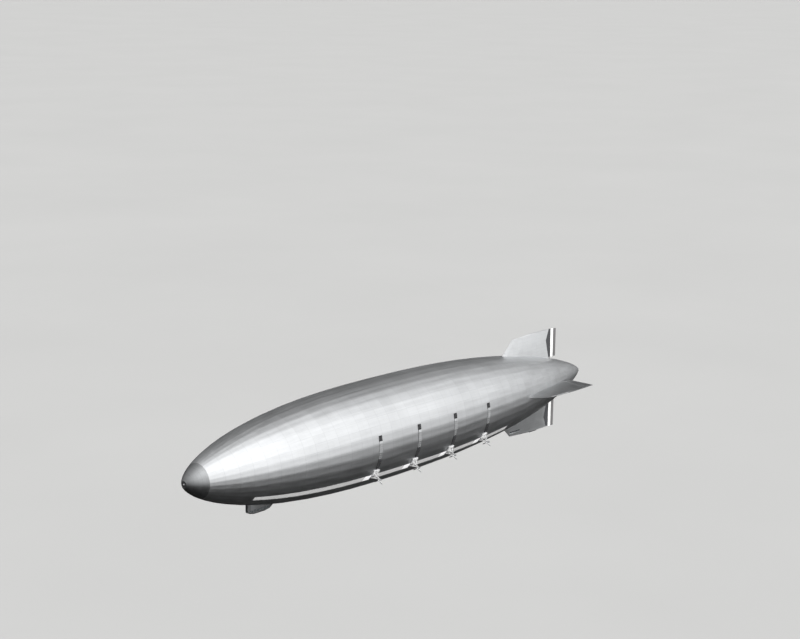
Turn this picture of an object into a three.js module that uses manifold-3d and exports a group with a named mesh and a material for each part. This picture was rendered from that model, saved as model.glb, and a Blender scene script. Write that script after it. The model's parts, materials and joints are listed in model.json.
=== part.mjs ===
import * as THREE from "three";
import { mergeVertices } from "three/addons/utils/BufferGeometryUtils.js";
import Module from "manifold-3d";

const wasm = await Module();
wasm.setup();

// A large rigid airship at one tenth of its real size: a hull of 36 flat sides covered in doped cloth,
// four fins with balanced rudders and elevators, a control car under the bow, a hangar in the belly with
// two rolling doors, and eight engines inside the hull, each driving a propeller on an outrigger whose
// gear head tilts. Sizes are metres of the real ship, and frames are metres forward of the rudder posts.
// The part's own unit is the millimetre: x runs forward, y to port and z up, from the hull's axis at the
// frame where the lift acts. Angles round the axis count from level on the port side, upwards positive.
const MM = 100; // millimetres of this part for one metre of the real ship
const SEAT = 0.3; // millimetres left between two pieces that touch
const OUTSIDE = 30; // a distance from the axis that clears the whole hull
const BITE = 0.3; // how far one bar runs into the one that it is joined to

// Hull
const NOSE_FRAME = 215.5;
const TAIL_FRAME = -23.8;
const LIFT_FRAME = 104;
const WIDEST_FRAME = 112;
const HULL_RADIUS = 20.25;
const BOW_FULLNESS = { power: 2.5, root: 0.61 };
const STERN_FULLNESS = { power: 2.3, root: 0.75 };
const SIDES = 36;
const SKIN = 0.1;
const CONE_FRAME = -19; // where the cloth ends at the tail
const CAP_FRAME = 208.5; // and at the bow
const CAP_FLAT_FRAME = 215; // flat front of the bow cap, round the mooring spindle
const SPINDLE = { rear: 0.55, tip: 0.22 }; // radii

// Envelope sections between main frames. A bunching over 1 crowds the rings at the tail, one under 0 at
// the bow.
const SECTIONS = [
  // name, rear frame, front frame, bays between rings, bunching
  ["envelope_stern", CONE_FRAME, 35, 9, 1.35],
  ["envelope_aft", 35, 80, 4, 1],
  ["envelope_middle", 80, 125, 3, 1],
  ["envelope_forward", 125, 170, 4, 1],
  ["envelope_bow", 170, CAP_FRAME, 7, -1.35],
];

// Power plants: the hub lies level with the middle of the lower keel's panel
const ENGINE_FRAMES = [132, 109.5, 87, 64.5];
const KEEL_ANGLE = -40;
const HUB_OUT = 4.5; // from the skin to the gear head
const SHAFT_TUBE = { radius: 0.26, inside: 1.2, sides: 10, holeOut: 1, holeIn: 1.5 };
const ENGINE = { fore: 0.95, across: 2.1, height: 1.1 };
const HOOD = { top: -28, bottom: -34.5, length: 3, rise: 0.5 };
const STRUT = { radius: 0.075, hoodSpread: 1, hoodAngle: -31, keelSpread: 1.3, keelIn: 1.5 };
const COLLAR = { radius: 0.38, length: 0.5 };
const HEAD = { radius: 0.36, across: 0.8, nose: 0.9, tail: 0.75, tailTip: 0.1 };
const BLADE_STATIONS = [
  // radius, chord, thickness, pitch in degrees
  [0.15, 0.24, 0.2, 48],
  [0.8, 0.38, 0.13, 36],
  [1.9, 0.34, 0.07, 22],
  [2.44, 0.12, 0.04, 17],
];
const BLADES = 3;
const BOSS = { radius: 0.26, front: 0.42, shoulder: [0.6, 0.7] }; // shoulder: shares of the front and radius
const CONDENSER = { top: 14, bottom: -26, length: 1.7, rise: 0.16 };

// Fins, rudders and elevators: reaches are distances out from the hull's axis
const VERTICAL_REACH = 22.5;
const LEVEL_REACH = 22;
const FIN = { inReach: 8, cornerFrame: 26.2, cornerDrop: 0.7, rootFrame: 33, rootReach: 15.3, bendFrame: 14 };
const FIN_THICK = { root: 3, tip: 0.5, rootEdge: 0.9, tipEdge: 0.35 };
// Shares of the chord behind the leading edge: the nose, which has a share of the thickness, and the widest
// place.
const FIN_SECTION = { nose: 0.08, noseThick: 0.3, widest: 0.32 };
const FIN_LIMIT_FRAME = 45; // ahead of the whole fin
const NOTCH = { frame: 2, reach: 17.7 };
const HINGE_FRAME = -1.2;
const SURFACE = { rearFrame: -4.6, inReach: 9.75, gap: 0.12, nose: 0.6, edge: 0.1, tipGap: 0.06 };
const POST = { radius: 0.14, inside: 0.5, overlap: 1, sides: 12, hole: [7, 12] };
const RUDDER_SET = 12; // degrees that the ship's rudders are set over, trailing edges to port
const TAIL_BUMPER = { rear: 7, front: 12, halfWidth: 0.2, depth: 0.3 };

// Control car
const CAR_RINGS = [
  // frame, half width, floor level
  [171.2, 0.4, -17.9],
  [173.2, 1.15, -18.6],
  [176.2, 1.5, -18.9],
  [181.6, 1.5, -18.9],
  [183.4, 1.2, -18.6],
  [184.4, 0.6, -18.2],
];
const CAR = { wall: 0.06, roof: -14, chamfer: 0.35, middle: 177.8, length: 13.2, floor: -18.9 };
const CAR_REGION = { rear: 165, front: 190, half: 2 }; // room round the whole car
const CAR_WINDOWS = { rear: 174.2, pitch: 1.65, width: 1.35, count: 6, sill: -18.05, head: -17.2 };
const FRONT_WINDOW = { rear: 184.2, half: 0.42 };
const GLASS = { thick: 0.03, lap: 0.08 };
const DECK = { rear: 176.6, front: 181.4, half: 0.9, thick: 0.04 };
const HELM = { radius: 0.45, bar: 0.035, spoke: 0.021, height: 0.95, reach: 0.25, postTop: 0.06 };
const RUDDER_WHEEL = { frame: 181, side: 0 };
const ELEVATOR_WHEEL = { frame: 179.2, side: 0.75 };
const CAR_BUMPER = { frame: 178, radius: 0.55, footRadius: 0.44, depth: 0.35 };

// Hangar and its T-shaped doorway in the belly
const BAY = { rear: 126.2, front: 146, halfWidth: 9.2, ceiling: -14.9, wall: 0.1 };
const DOORWAY = { rear: 132.2, crook: 138.5, front: 141.7, barHalf: 4.3, stemHalf: 1.6 };
const BELLY = { low: -21, high: -18.5, leafHigh: -17 }; // levels below and above the skin at the doorway
// The leaves run on curved rails at the doorway's ends: clearances and the seam are millimetres of the part.
const DOOR = { lap: 0.2, thick: 0.08, clear: 12, seam: 2.5 };
const RAIL = { width: 0.28, edge: 0.02, halfAngle: 29, stand: 2.6 };
const SHOE = { halfAngle: 0.5, front: [2.5, 7.5], rear: [2.5] };

const cloth = () => new THREE.MeshStandardMaterial({ color: 0xb4b7ba, roughness: 0.42, metalness: 0.35 });
const bright = () => new THREE.MeshStandardMaterial({ color: 0xd2d4d6, roughness: 0.3, metalness: 0.8 });
const steel = () => new THREE.MeshStandardMaterial({ color: 0x85888c, roughness: 0.4, metalness: 0.8 });
const dark = () => new THREE.MeshStandardMaterial({ color: 0x4a4c50, roughness: 0.6, metalness: 0.5 });
const blade = () => new THREE.MeshStandardMaterial({ color: 0xc4c6c8, roughness: 0.3, metalness: 0.85 });
const glass = () => new THREE.MeshStandardMaterial({ color: 0x6f8790, roughness: 0.1, metalness: 0 });
const rubber = () => new THREE.MeshStandardMaterial({ color: 0x2a2a2b, roughness: 0.85, metalness: 0 });
const timber = () => new THREE.MeshStandardMaterial({ color: 0x8a6a44, roughness: 0.6, metalness: 0 });

const rad = THREE.MathUtils.degToRad;
const at = (frame) => (frame - LIFT_FRAME) * MM;
const place = (frame, y, z) => [at(frame), y * MM, z * MM];

// Hull form: a smooth curve, taken at the rings and straight between them

function curveRadius(frame) {
  const ahead = frame > WIDEST_FRAME;
  const { power, root } = ahead ? BOW_FULLNESS : STERN_FULLNESS;
  const share = (frame - WIDEST_FRAME) / ((ahead ? NOSE_FRAME : TAIL_FRAME) - WIDEST_FRAME);
  return HULL_RADIUS * Math.max(0, 1 - share ** power) ** root;
}

function sectionRings(rear, front, bays, bunching) {
  const share = (t) => (bunching > 0 ? t ** bunching : 1 - (1 - t) ** -bunching);
  return Array.from({ length: bays + 1 }, (_, i) => rear + (front - rear) * share(i / bays));
}

const coneRings = sectionRings(TAIL_FRAME, CONE_FRAME, 4, 1.6);
const capRings = sectionRings(CAP_FRAME, CAP_FLAT_FRAME, 5, -1.6);
const bodyRings = SECTIONS.flatMap(([, rear, front, bays, bunching]) =>
  sectionRings(rear, front, bays, bunching).slice(0, -1),
);
const RINGS = [...coneRings.slice(0, -1), ...bodyRings, ...capRings];

function skinRadius(frame) {
  const next = Math.max(1, RINGS.findIndex((ring) => ring >= frame - 1e-6));
  const [low, high] = [RINGS[next - 1], RINGS[next]];
  return THREE.MathUtils.mapLinear(frame, low, high, curveRadius(low), curveRadius(high));
}

// Solids and meshes

function toSolid(geometry) {
  const loose = geometry.index ? geometry.toNonIndexed() : geometry;
  const bare = new THREE.BufferGeometry().setAttribute("position", loose.getAttribute("position"));
  const merged = mergeVertices(bare, 1e-3);
  const vertProperties = merged.attributes.position.array;
  const triVerts = new Uint32Array(merged.index.array);
  return new wasm.Manifold(new wasm.Mesh({ numProp: 3, vertProperties, triVerts }));
}

function addMesh(group, name, solid, material) {
  const { vertProperties, triVerts } = solid.getMesh();
  const geometry = new THREE.BufferGeometry();
  geometry.setAttribute("position", new THREE.BufferAttribute(vertProperties, 3));
  geometry.setIndex(new THREE.BufferAttribute(triVerts, 1));
  geometry.computeVertexNormals();
  const mesh = new THREE.Mesh(geometry, material());
  mesh.name = name;
  group.add(mesh);
  return mesh;
}

const join = (solids) => solids.reduce((all, next) => all.add(next));

// A body of revolution about the x axis, from [x, radius] pairs in millimetres: the outside runs aft. The
// hull's flat sides are centred on the top, the sides and the bottom.
function revolve(profile, sides = SIDES) {
  const points = profile.map(([x, radius]) => new THREE.Vector2(radius, x)).reverse();
  return toSolid(new THREE.LatheGeometry(points, sides, Math.PI / SIDES).rotateZ(-Math.PI / 2));
}

// A closed body through rings of equal numbers of [x, y, z] points, each ring anticlockwise when seen
// from the last one.
function loft(rings) {
  const count = rings[0].length;
  const index = [];
  for (let row = 0; row + 1 < rings.length; row++)
    for (let i = 0; i < count; i++) {
      const a = row * count + i;
      const b = row * count + ((i + 1) % count);
      index.push(a, b, b + count, a, b + count, a + count);
    }
  const last = (rings.length - 1) * count;
  for (let i = 1; i + 1 < count; i++) index.push(0, i + 1, i, last, last + i, last + i + 1);
  const geometry = new THREE.BufferGeometry();
  geometry.setAttribute("position", new THREE.Float32BufferAttribute(rings.flat(2), 3));
  return toSolid(geometry.setIndex(index));
}

function box(from, to) {
  const low = new THREE.Vector3(...from);
  const high = new THREE.Vector3(...to);
  const size = high.clone().sub(low);
  const middle = low.add(high).multiplyScalar(0.5);
  return toSolid(new THREE.BoxGeometry(size.x, size.y, size.z).translate(middle.x, middle.y, middle.z));
}

// A round bar between two points, with a radius at each end.
function rod(from, to, radius, sides = 6, endRadius = radius) {
  const start = new THREE.Vector3(...from);
  const along = new THREE.Vector3(...to).sub(start);
  const upwards = new THREE.Vector3(0, 1, 0);
  const turn = new THREE.Quaternion().setFromUnitVectors(upwards, along.clone().normalize());
  const middle = start.addScaledVector(along, 0.5);
  const bar = new THREE.CylinderGeometry(endRadius, radius, along.length(), sides).applyQuaternion(turn);
  return toSolid(bar.translate(middle.x, middle.y, middle.z));
}

// An upright prism over a plan of [frame, y] points.
function upright(plan, low, high) {
  const shape = new THREE.Shape(plan.map(([frame, y]) => new THREE.Vector2(at(frame), y * MM)));
  const block = new THREE.ExtrudeGeometry(shape, { depth: (high - low) * MM, bevelEnabled: false });
  return toSolid(block.translate(0, 0, low * MM));
}

// [x, radius] pairs along the skin between two frames, with the radius in millimetres changed by a rule.
function skinLine(rear, front, change) {
  const frames = [rear, ...RINGS.filter((ring) => ring > rear && ring < front), front];
  return frames.map((frame) => [at(frame), change(skinRadius(frame) * MM)]);
}

// The filled hull between two frames, grown by an offset in millimetres.
function hullSolid(rear, front, offset) {
  const line = skinLine(rear, front, (radius) => radius + offset);
  return revolve([[at(front), 0], ...line.reverse(), [at(rear), 0]]);
}

// The wedge round the x axis between two angles.
function sector(lowAngle, highAngle, rear, front) {
  const reach = OUTSIDE * MM;
  const corner = (angle) => [reach * Math.cos(rad(angle)), reach * Math.sin(rad(angle))];
  const ring = (x) => [[x, 0, 0], [x, ...corner(lowAngle)], [x, ...corner(highAngle)]];
  return loft([ring(at(rear)), ring(at(front))]);
}

// A raised patch seated on the skin, on either side of the hull.
function skinPatch({ top, bottom, length, rise }, frame, side) {
  const [rear, front] = [frame - length / 2, frame + length / 2];
  const crust = hullSolid(rear, front, rise * MM).subtract(hullSolid(rear - 1, front + 1, SEAT));
  const [low, high] = side > 0 ? [bottom, top] : [180 - top, 180 - bottom];
  return crust.intersect(sector(low, high, rear - 1, front + 1));
}

const ship = new THREE.Group();
const hull = new THREE.Group();
ship.add(hull);

// Fins and their moving surfaces, made pointing up

function finEdges(reach, tip) {
  const corner = tip - FIN.cornerDrop;
  const slope = (FIN.rootFrame - FIN.cornerFrame) / (corner - FIN.rootReach);
  const front = reach > corner ? FIN.bendFrame : FIN.cornerFrame + (corner - reach) * slope;
  const outer = reach > NOTCH.reach ? tip : skinRadius(0);
  const rear = (NOTCH.frame * (outer - reach)) / (outer - NOTCH.reach);
  const share = (tip - reach) / (tip - skinRadius(0));
  const edge = THREE.MathUtils.lerp(FIN_THICK.tipEdge, FIN_THICK.rootEdge, share);
  return { front, rear, edge, thick: THREE.MathUtils.lerp(FIN_THICK.tip, FIN_THICK.root, share) };
}

function finRing(reach, tip) {
  const { front, rear, edge, thick } = finEdges(reach, tip);
  const chord = front - rear;
  const half = [
    [front - FIN_SECTION.nose * chord, thick * FIN_SECTION.noseThick],
    [front - FIN_SECTION.widest * chord, thick / 2],
    [rear, edge / 2],
  ];
  const other = half.map(([frame, y]) => [frame, -y]).reverse();
  return [[front, 0], ...half, ...other].map(([frame, y]) => place(frame, y, reach));
}

function surfaceRing(reach, tip) {
  const { rear, edge } = finEdges(reach, tip);
  const nose = rear - SURFACE.gap;
  const half = [
    [nose, SURFACE.edge / 2],
    [nose - SURFACE.nose, edge / 2],
    [SURFACE.rearFrame, SURFACE.edge / 2],
  ];
  const outline = [...half, ...half.map(([frame, y]) => [frame, -y]).reverse()];
  return outline.map(([frame, y]) => [(frame - HINGE_FRAME) * MM, y * MM, reach * MM]);
}

const TAIL = [
  // fin, surface, turn about the x axis, tip's reach, way that the surface is set over
  ["fin_upper", "rudder_upper", 0, VERTICAL_REACH, -1],
  ["fin_lower", "rudder_lower", 180, VERTICAL_REACH, 1],
  ["fin_port", "elevator_port", -90, LEVEL_REACH, 0],
  ["fin_starboard", "elevator_starboard", 90, LEVEL_REACH, 0],
];

const tailHull = hullSolid(CONE_FRAME, FIN_LIMIT_FRAME, SEAT);
const postFoot = [0, 0, (skinRadius(HINGE_FRAME) - POST.inside) * MM];
const postHead = [0, 0, (SURFACE.inReach + POST.overlap) * MM];
for (const [finName, surfaceName, turn, tip, way] of TAIL) {
  const quarter = new THREE.Group();
  quarter.rotation.x = rad(turn);
  hull.add(quarter);
  const reaches = [FIN.inReach, NOTCH.reach, tip - FIN.cornerDrop, tip];
  const fin = loft(reaches.map((reach) => finRing(reach, tip))).subtract(tailHull);
  addMesh(quarter, finName, fin, cloth);
  const outline = [SURFACE.inReach, NOTCH.reach, tip - SURFACE.tipGap];
  const panel = loft(outline.map((reach) => surfaceRing(reach, tip)));
  const post = rod(postFoot, postHead, POST.radius * MM, POST.sides);
  const surface = addMesh(quarter, surfaceName, panel.add(post), cloth);
  surface.position.x = at(HINGE_FRAME);
  surface.rotation.z = rad(way * RUDDER_SET);
}

// Envelope: one shell for each section, with holes for the shafts, the surfaces' posts and the doorway

function hubPlace(frame, side) {
  const reach = skinRadius(frame) * Math.cos(Math.PI / SIDES);
  return { skin: side * reach * Math.cos(rad(KEEL_ANGLE)), level: reach * Math.sin(rad(KEEL_ANGLE)) };
}

// Half of the doorway's plan, grown outwards and held back from the middle line.
function doorwayPlan(grow, seam) {
  const { rear, crook, front, barHalf, stemHalf } = DOORWAY;
  return [
    [rear - grow, seam],
    [front + grow, seam],
    [front + grow, barHalf + grow],
    [crook - grow, barHalf + grow],
    [crook - grow, stemHalf + grow],
    [rear - grow, stemHalf + grow],
  ];
}

const mirrored = (plan) => plan.map(([frame, y]) => [frame, -y]).reverse();

const shaftHoles = ENGINE_FRAMES.flatMap((frame) =>
  [1, -1].map((side) => {
    const { skin, level } = hubPlace(frame, side);
    const ends = [skin - side * SHAFT_TUBE.holeIn, skin + side * SHAFT_TUBE.holeOut];
    const line = ends.map((y) => place(frame, y, level));
    return { frame, hole: rod(...line, SHAFT_TUBE.radius * MM + SEAT, SHAFT_TUBE.sides) };
  }),
);

const postHoles = TAIL.map(([, , turn]) => {
  const along = new THREE.Vector3(0, 0, MM).applyAxisAngle(new THREE.Vector3(1, 0, 0), rad(turn));
  const ends = POST.hole.map((reach) => [at(HINGE_FRAME), along.y * reach, along.z * reach]);
  return { frame: HINGE_FRAME, hole: rod(...ends, POST.radius * MM + 2 * SEAT, POST.sides) };
});

const halfDoorway = doorwayPlan(0, 0).slice(2);
const doorwayHole = upright([...halfDoorway, ...mirrored(halfDoorway)], BELLY.low, BELLY.high);
const doorway = { frame: DOORWAY.crook, hole: doorwayHole };

for (const [name, rear, front] of SECTIONS) {
  const outside = skinLine(rear, front, (radius) => radius);
  outside[0][0] += SEAT / 2;
  outside[outside.length - 1][0] -= SEAT / 2;
  const inside = outside.map(([x, radius]) => [x, radius - SKIN * MM]);
  const ring = [...outside.reverse(), ...inside];
  let shell = revolve([...ring, ring[0]]);
  for (const { frame, hole } of [...shaftHoles, ...postHoles, doorway])
    if (frame > rear && frame < front) shell = shell.subtract(hole);
  addMesh(hull, name, shell, cloth);
}

// Tail cone, bow cap and mooring spindle

const coneLine = skinLine(TAIL_FRAME, CONE_FRAME, (radius) => radius);
const coneFace = at(CONE_FRAME) - SEAT / 2;
coneLine[coneLine.length - 1][0] = coneFace;
addMesh(hull, "tail_cone", revolve([[coneFace, 0], ...coneLine.reverse()]), cloth);

const capLine = skinLine(CAP_FRAME, CAP_FLAT_FRAME, (radius) => radius);
capLine[0][0] += SEAT / 2;
const capInside = capLine.map(([x, radius], i) => [x - (i > 0 ? SKIN * MM : 0), radius - SKIN * MM]);
const capBack = [at(CAP_FLAT_FRAME) - SKIN * MM, 0];
const capProfile = [[at(CAP_FLAT_FRAME), 0], ...[...capLine].reverse(), ...capInside, capBack];
addMesh(hull, "bow_cap", revolve(capProfile), bright);

const spindleRear = [at(CAP_FLAT_FRAME) + SEAT, 0, 0];
const spindle = rod(spindleRear, [at(NOSE_FRAME), 0, 0], SPINDLE.rear * MM, 20, SPINDLE.tip * MM);
addMesh(hull, "mooring_spindle", spindle, steel);

// Bumper under the lower fin

const bumperTop = -VERTICAL_REACH - SEAT / MM;
const bumperLow = place(TAIL_BUMPER.rear, -TAIL_BUMPER.halfWidth, bumperTop - TAIL_BUMPER.depth);
const bumperHigh = place(TAIL_BUMPER.front, TAIL_BUMPER.halfWidth, bumperTop);
addMesh(hull, "tail_bumper", box(bumperLow, bumperHigh), rubber);

// Power plants

function powerUnit(frame, side) {
  const { skin, level } = hubPlace(frame, side);
  const end = skin + side * (HUB_OUT - HEAD.across / 2);
  const engineEnd = skin - side * SHAFT_TUBE.inside;
  const tubeStart = place(frame, engineEnd - side * BITE, level);
  const tubeEnd = place(frame, end, level);
  const tube = rod(tubeStart, tubeEnd, SHAFT_TUBE.radius * MM, SHAFT_TUBE.sides);
  const collarStart = place(frame, end - side * COLLAR.length, level);
  const collar = rod(collarStart, tubeEnd, COLLAR.radius * MM, SHAFT_TUBE.sides);
  const across = [engineEnd, engineEnd - side * ENGINE.across].sort((a, b) => a - b);
  const engineLow = place(frame - ENGINE.fore / 2, across[0], level - ENGINE.height / 2);
  const engineHigh = place(frame + ENGINE.fore / 2, across[1], level + ENGINE.height / 2);
  const hoodSide = skinRadius(frame) * Math.cos(rad(STRUT.hoodAngle));
  const hoodLevel = skinRadius(frame) * Math.sin(rad(STRUT.hoodAngle));
  const struts = [1, -1].flatMap((way) => {
    const feet = [
      place(frame + way * STRUT.hoodSpread, side * hoodSide, hoodLevel),
      place(frame + way * STRUT.keelSpread, skin - side * STRUT.keelIn, level),
    ];
    return feet.map((foot) => rod(foot, place(frame, end - side * BITE, level), STRUT.radius * MM));
  });
  const outside = join(struts).subtract(hullSolid(frame - 5, frame + 5, SEAT));
  return join([tube, collar, box(engineLow, engineHigh), outside, skinPatch(HOOD, frame, side)]);
}

function gearHead(side) {
  const half = (HEAD.across / 2) * MM;
  const barrel = rod([0, side * (SEAT - half), 0], [0, side * half, 0], HEAD.radius * MM, 10);
  const nose = rod([0, 0, 0], [HEAD.nose * MM, 0, 0], HEAD.radius * MM, 8, BOSS.radius * MM);
  const tail = rod([-HEAD.tail * MM, 0, 0], [0, 0, 0], HEAD.tailTip * MM, 8, HEAD.radius * MM);
  return join([barrel, nose, tail]);
}

function propeller() {
  const aboutShaft = new THREE.Vector3(1, 0, 0);
  const blades = Array.from({ length: BLADES }, (_, i) => {
    const rings = BLADE_STATIONS.map(([radius, chord, thick, pitch]) => {
      const [sine, cosine] = [Math.sin(rad(pitch)) / 2, Math.cos(rad(pitch)) / 2];
      const corners = [
        [cosine * thick, -sine * thick],
        [sine * chord, cosine * chord],
        [-cosine * thick, sine * thick],
        [-sine * chord, -cosine * chord],
      ];
      const points = corners.map(([x, y]) => new THREE.Vector3(x, y, radius).multiplyScalar(MM));
      return points.map((point) => point.applyAxisAngle(aboutShaft, rad((360 * i) / BLADES)).toArray());
    });
    return loft(rings);
  });
  const [rear, front, radius] = [-BOSS.radius * MM, BOSS.front * MM, BOSS.radius * MM];
  const shoulder = [front * BOSS.shoulder[0], radius * BOSS.shoulder[1]];
  const boss = revolve([[front, 0], shoulder, [0, radius], [rear, radius], [rear, 0]], 8);
  return join([boss, ...blades]);
}

for (const [index, frame] of ENGINE_FRAMES.entries())
  for (const side of [1, -1]) {
    const label = `${side > 0 ? "port" : "starboard"}_${index + 1}`;
    const { skin, level } = hubPlace(frame, side);
    addMesh(hull, `power_unit_${label}`, powerUnit(frame, side), bright);
    addMesh(hull, `condenser_${label}`, skinPatch(CONDENSER, frame, side), dark);
    const outrigger = new THREE.Group();
    outrigger.position.set(...place(frame, skin + side * HUB_OUT, level));
    hull.add(outrigger);
    addMesh(outrigger, `gear_head_${label}`, gearHead(side), steel);
    const screw = addMesh(outrigger, `propeller_${label}`, propeller(), blade);
    screw.position.x = (HEAD.nose + BOSS.radius) * MM + SEAT;
  }

// Control car: shell, glazing, helm and bumper

function carSolid(inset, roof) {
  const shrink = 1 - (2 * inset) / CAR.length;
  const rings = CAR_RINGS.map(([frame, fullHalf, fullFloor]) => {
    const [half, floor] = [fullHalf - inset, fullFloor + inset];
    const chamfer = Math.min(CAR.chamfer, half * 0.5);
    const section = [
      [half, roof],
      [-half, roof],
      [-half, floor + chamfer],
      [chamfer - half, floor],
      [half - chamfer, floor],
      [half, floor + chamfer],
    ];
    return section.map(([y, z]) => place(CAR.middle + (frame - CAR.middle) * shrink, y, z));
  });
  return loft(rings);
}

const { sill, head } = CAR_WINDOWS;
const { rear: behindCar, front: aheadOfCar, half: besideCar } = CAR_REGION;
const sideWindows = Array.from({ length: CAR_WINDOWS.count }, (_, i) => {
  const rear = CAR_WINDOWS.rear + i * CAR_WINDOWS.pitch;
  return box(place(rear, -besideCar, sill), place(rear + CAR_WINDOWS.width, besideCar, head));
});
const frontLow = place(FRONT_WINDOW.rear, -FRONT_WINDOW.half, sill);
const frontWindow = box(frontLow, place(aheadOfCar, FRONT_WINDOW.half, head));
const carHollow = carSolid(0, CAR.roof).subtract(carSolid(CAR.wall, CAR.roof + 1));
const bow = hullSolid(behindCar, aheadOfCar, SEAT);
addMesh(hull, "car_shell", carHollow.subtract(bow).subtract(join([...sideWindows, frontWindow])), cloth);

const glassFace = CAR.wall + SEAT / MM;
const glassBand = carSolid(glassFace, CAR.roof).subtract(carSolid(glassFace + GLASS.thick, CAR.roof + 1));
const glassLow = place(behindCar, -besideCar, sill - GLASS.lap);
const glassBox = box(glassLow, place(aheadOfCar, besideCar, head + GLASS.lap));
addMesh(hull, "car_glazing", glassBand.intersect(glassBox).subtract(bow), glass);

const deckFoot = CAR.floor + CAR.wall + SEAT / MM;
const deckLow = place(DECK.rear, -DECK.half, deckFoot);
const deck = box(deckLow, place(DECK.front, DECK.half, deckFoot + DECK.thick));

// A hand wheel on a post, facing aft or across the car.
function handWheel({ frame, side: y }, facing) {
  const axle = deckFoot + HELM.height;
  const [fore, across] = facing === "aft" ? [0, 1] : [1, 0];
  const rim = new THREE.TorusGeometry(HELM.radius * MM, HELM.bar * MM, 5, 16);
  if (facing === "aft") rim.rotateY(Math.PI / 2);
  else rim.rotateX(Math.PI / 2);
  const [dx, dy] = [fore * HELM.radius, across * HELM.radius];
  const spokes = [
    rod(place(frame - dx, y - dy, axle), place(frame + dx, y + dy, axle), HELM.spoke * MM),
    rod(place(frame, y, axle - HELM.radius), place(frame, y, axle + HELM.radius), HELM.spoke * MM),
  ];
  const [postFrame, postSide] = [frame + across * HELM.reach, y - fore * HELM.reach];
  const stub = rod(place(frame, y, axle), place(postFrame, postSide, axle), HELM.bar * MM, 8);
  const postHead = place(postFrame, postSide, axle + HELM.postTop);
  const post = rod(place(postFrame, postSide, deckFoot), postHead, 2 * HELM.bar * MM);
  return join([toSolid(rim.translate(...place(frame, y, axle))), ...spokes, stub, post]);
}

const wheels = [handWheel(RUDDER_WHEEL, "aft"), handWheel(ELEVATOR_WHEEL, "across")];
addMesh(hull, "helm", join([deck, ...wheels]), timber);

const padTop = [at(CAR_BUMPER.frame), 0, CAR.floor * MM - SEAT];
const padFoot = [at(CAR_BUMPER.frame), 0, (CAR.floor - CAR_BUMPER.depth) * MM];
const pad = rod(padFoot, padTop, CAR_BUMPER.footRadius * MM, 16, CAR_BUMPER.radius * MM);
addMesh(hull, "car_bumper", pad, rubber);

// Hangar: a bay open at the bottom, seated on the skin, and two door leaves that roll outboard inside it

const bayHalf = BAY.halfWidth + BAY.wall;
const bayLow = place(BAY.rear - BAY.wall, -bayHalf, BELLY.low);
const bayHigh = place(BAY.front + BAY.wall, bayHalf, BAY.ceiling + BAY.wall);
const bayBlock = box(bayLow, bayHigh);
const roomLow = place(BAY.rear, -BAY.halfWidth, BELLY.low - 1);
const bayRoom = box(roomLow, place(BAY.front, BAY.halfWidth, BAY.ceiling));
const insideSkin = hullSolid(BAY.rear - 1, BAY.front + 1, -SKIN * MM - SEAT);

// A ring of 72 flats between two radii that follow the skin, outside and inside, in millimetres.
function innerRing(rear, front, outer, inner) {
  const outside = skinLine(rear, front, outer).reverse();
  const inside = skinLine(rear, front, inner);
  return revolve([...outside, ...inside, outside[0]], 2 * SIDES);
}

const skinFlat = (radius) => (radius - SKIN * MM) * Math.cos(Math.PI / SIDES);
const leafOuter = (radius) => skinFlat(radius) - DOOR.clear;
const leafInner = (radius) => leafOuter(radius) - DOOR.thick * MM;
const flatToCorner = 1 / Math.cos(Math.PI / (2 * SIDES));
const railInner = (radius) => (leafOuter(radius) + RAIL.stand) * flatToCorner;
const shoeOuter = (radius) => (leafOuter(radius) + RAIL.stand - SEAT) * flatToCorner;

const frontRail = [DOORWAY.front + RAIL.edge, DOORWAY.front + RAIL.edge + RAIL.width];
const rearRail = [DOORWAY.rear - RAIL.edge - RAIL.width, DOORWAY.rear - RAIL.edge];
const rails = [frontRail, rearRail].map(([rear, front]) => {
  const ring = innerRing(rear, front, (radius) => skinFlat(radius) - SEAT, railInner);
  const wedge = sector(-90 - RAIL.halfAngle, -90 + RAIL.halfAngle, rear - 1, front + 1);
  return ring.intersect(wedge).intersect(bayBlock);
});
addMesh(hull, "hangar_bay", join([bayBlock.subtract(bayRoom).intersect(insideSkin), ...rails]), cloth);

const leafCrust = innerRing(DOORWAY.rear - 1, DOORWAY.front + 1, leafOuter, leafInner);
for (const [label, side] of [["port", 1], ["starboard", -1]]) {
  const plan = doorwayPlan(DOOR.lap, DOOR.seam / MM);
  const leaf = leafCrust.intersect(upright(side > 0 ? plan : mirrored(plan), BELLY.low, BELLY.leafHigh));
  const places = [
    ...SHOE.front.map((angle) => [frontRail[0], DOORWAY.front + DOOR.lap, angle]),
    ...SHOE.rear.map((angle) => [DOORWAY.rear - DOOR.lap, rearRail[1], angle]),
  ];
  const shoes = places.map(([rear, front, angle]) => {
    const middle = -90 + side * angle;
    const wedge = sector(middle - SHOE.halfAngle, middle + SHOE.halfAngle, rear - 1, front + 1);
    return innerRing(rear, front, shoeOuter, leafInner).intersect(wedge);
  });
  addMesh(hull, `hangar_door_${label}`, join([leaf, ...shoes]), cloth);
}

export default ship;
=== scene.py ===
"""A rigid airship at one tenth of its real size, dressed in cloth, metal, glass and rubber."""

import json
import math

import bmesh
import bpy
from mathutils import Matrix, Vector

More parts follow.
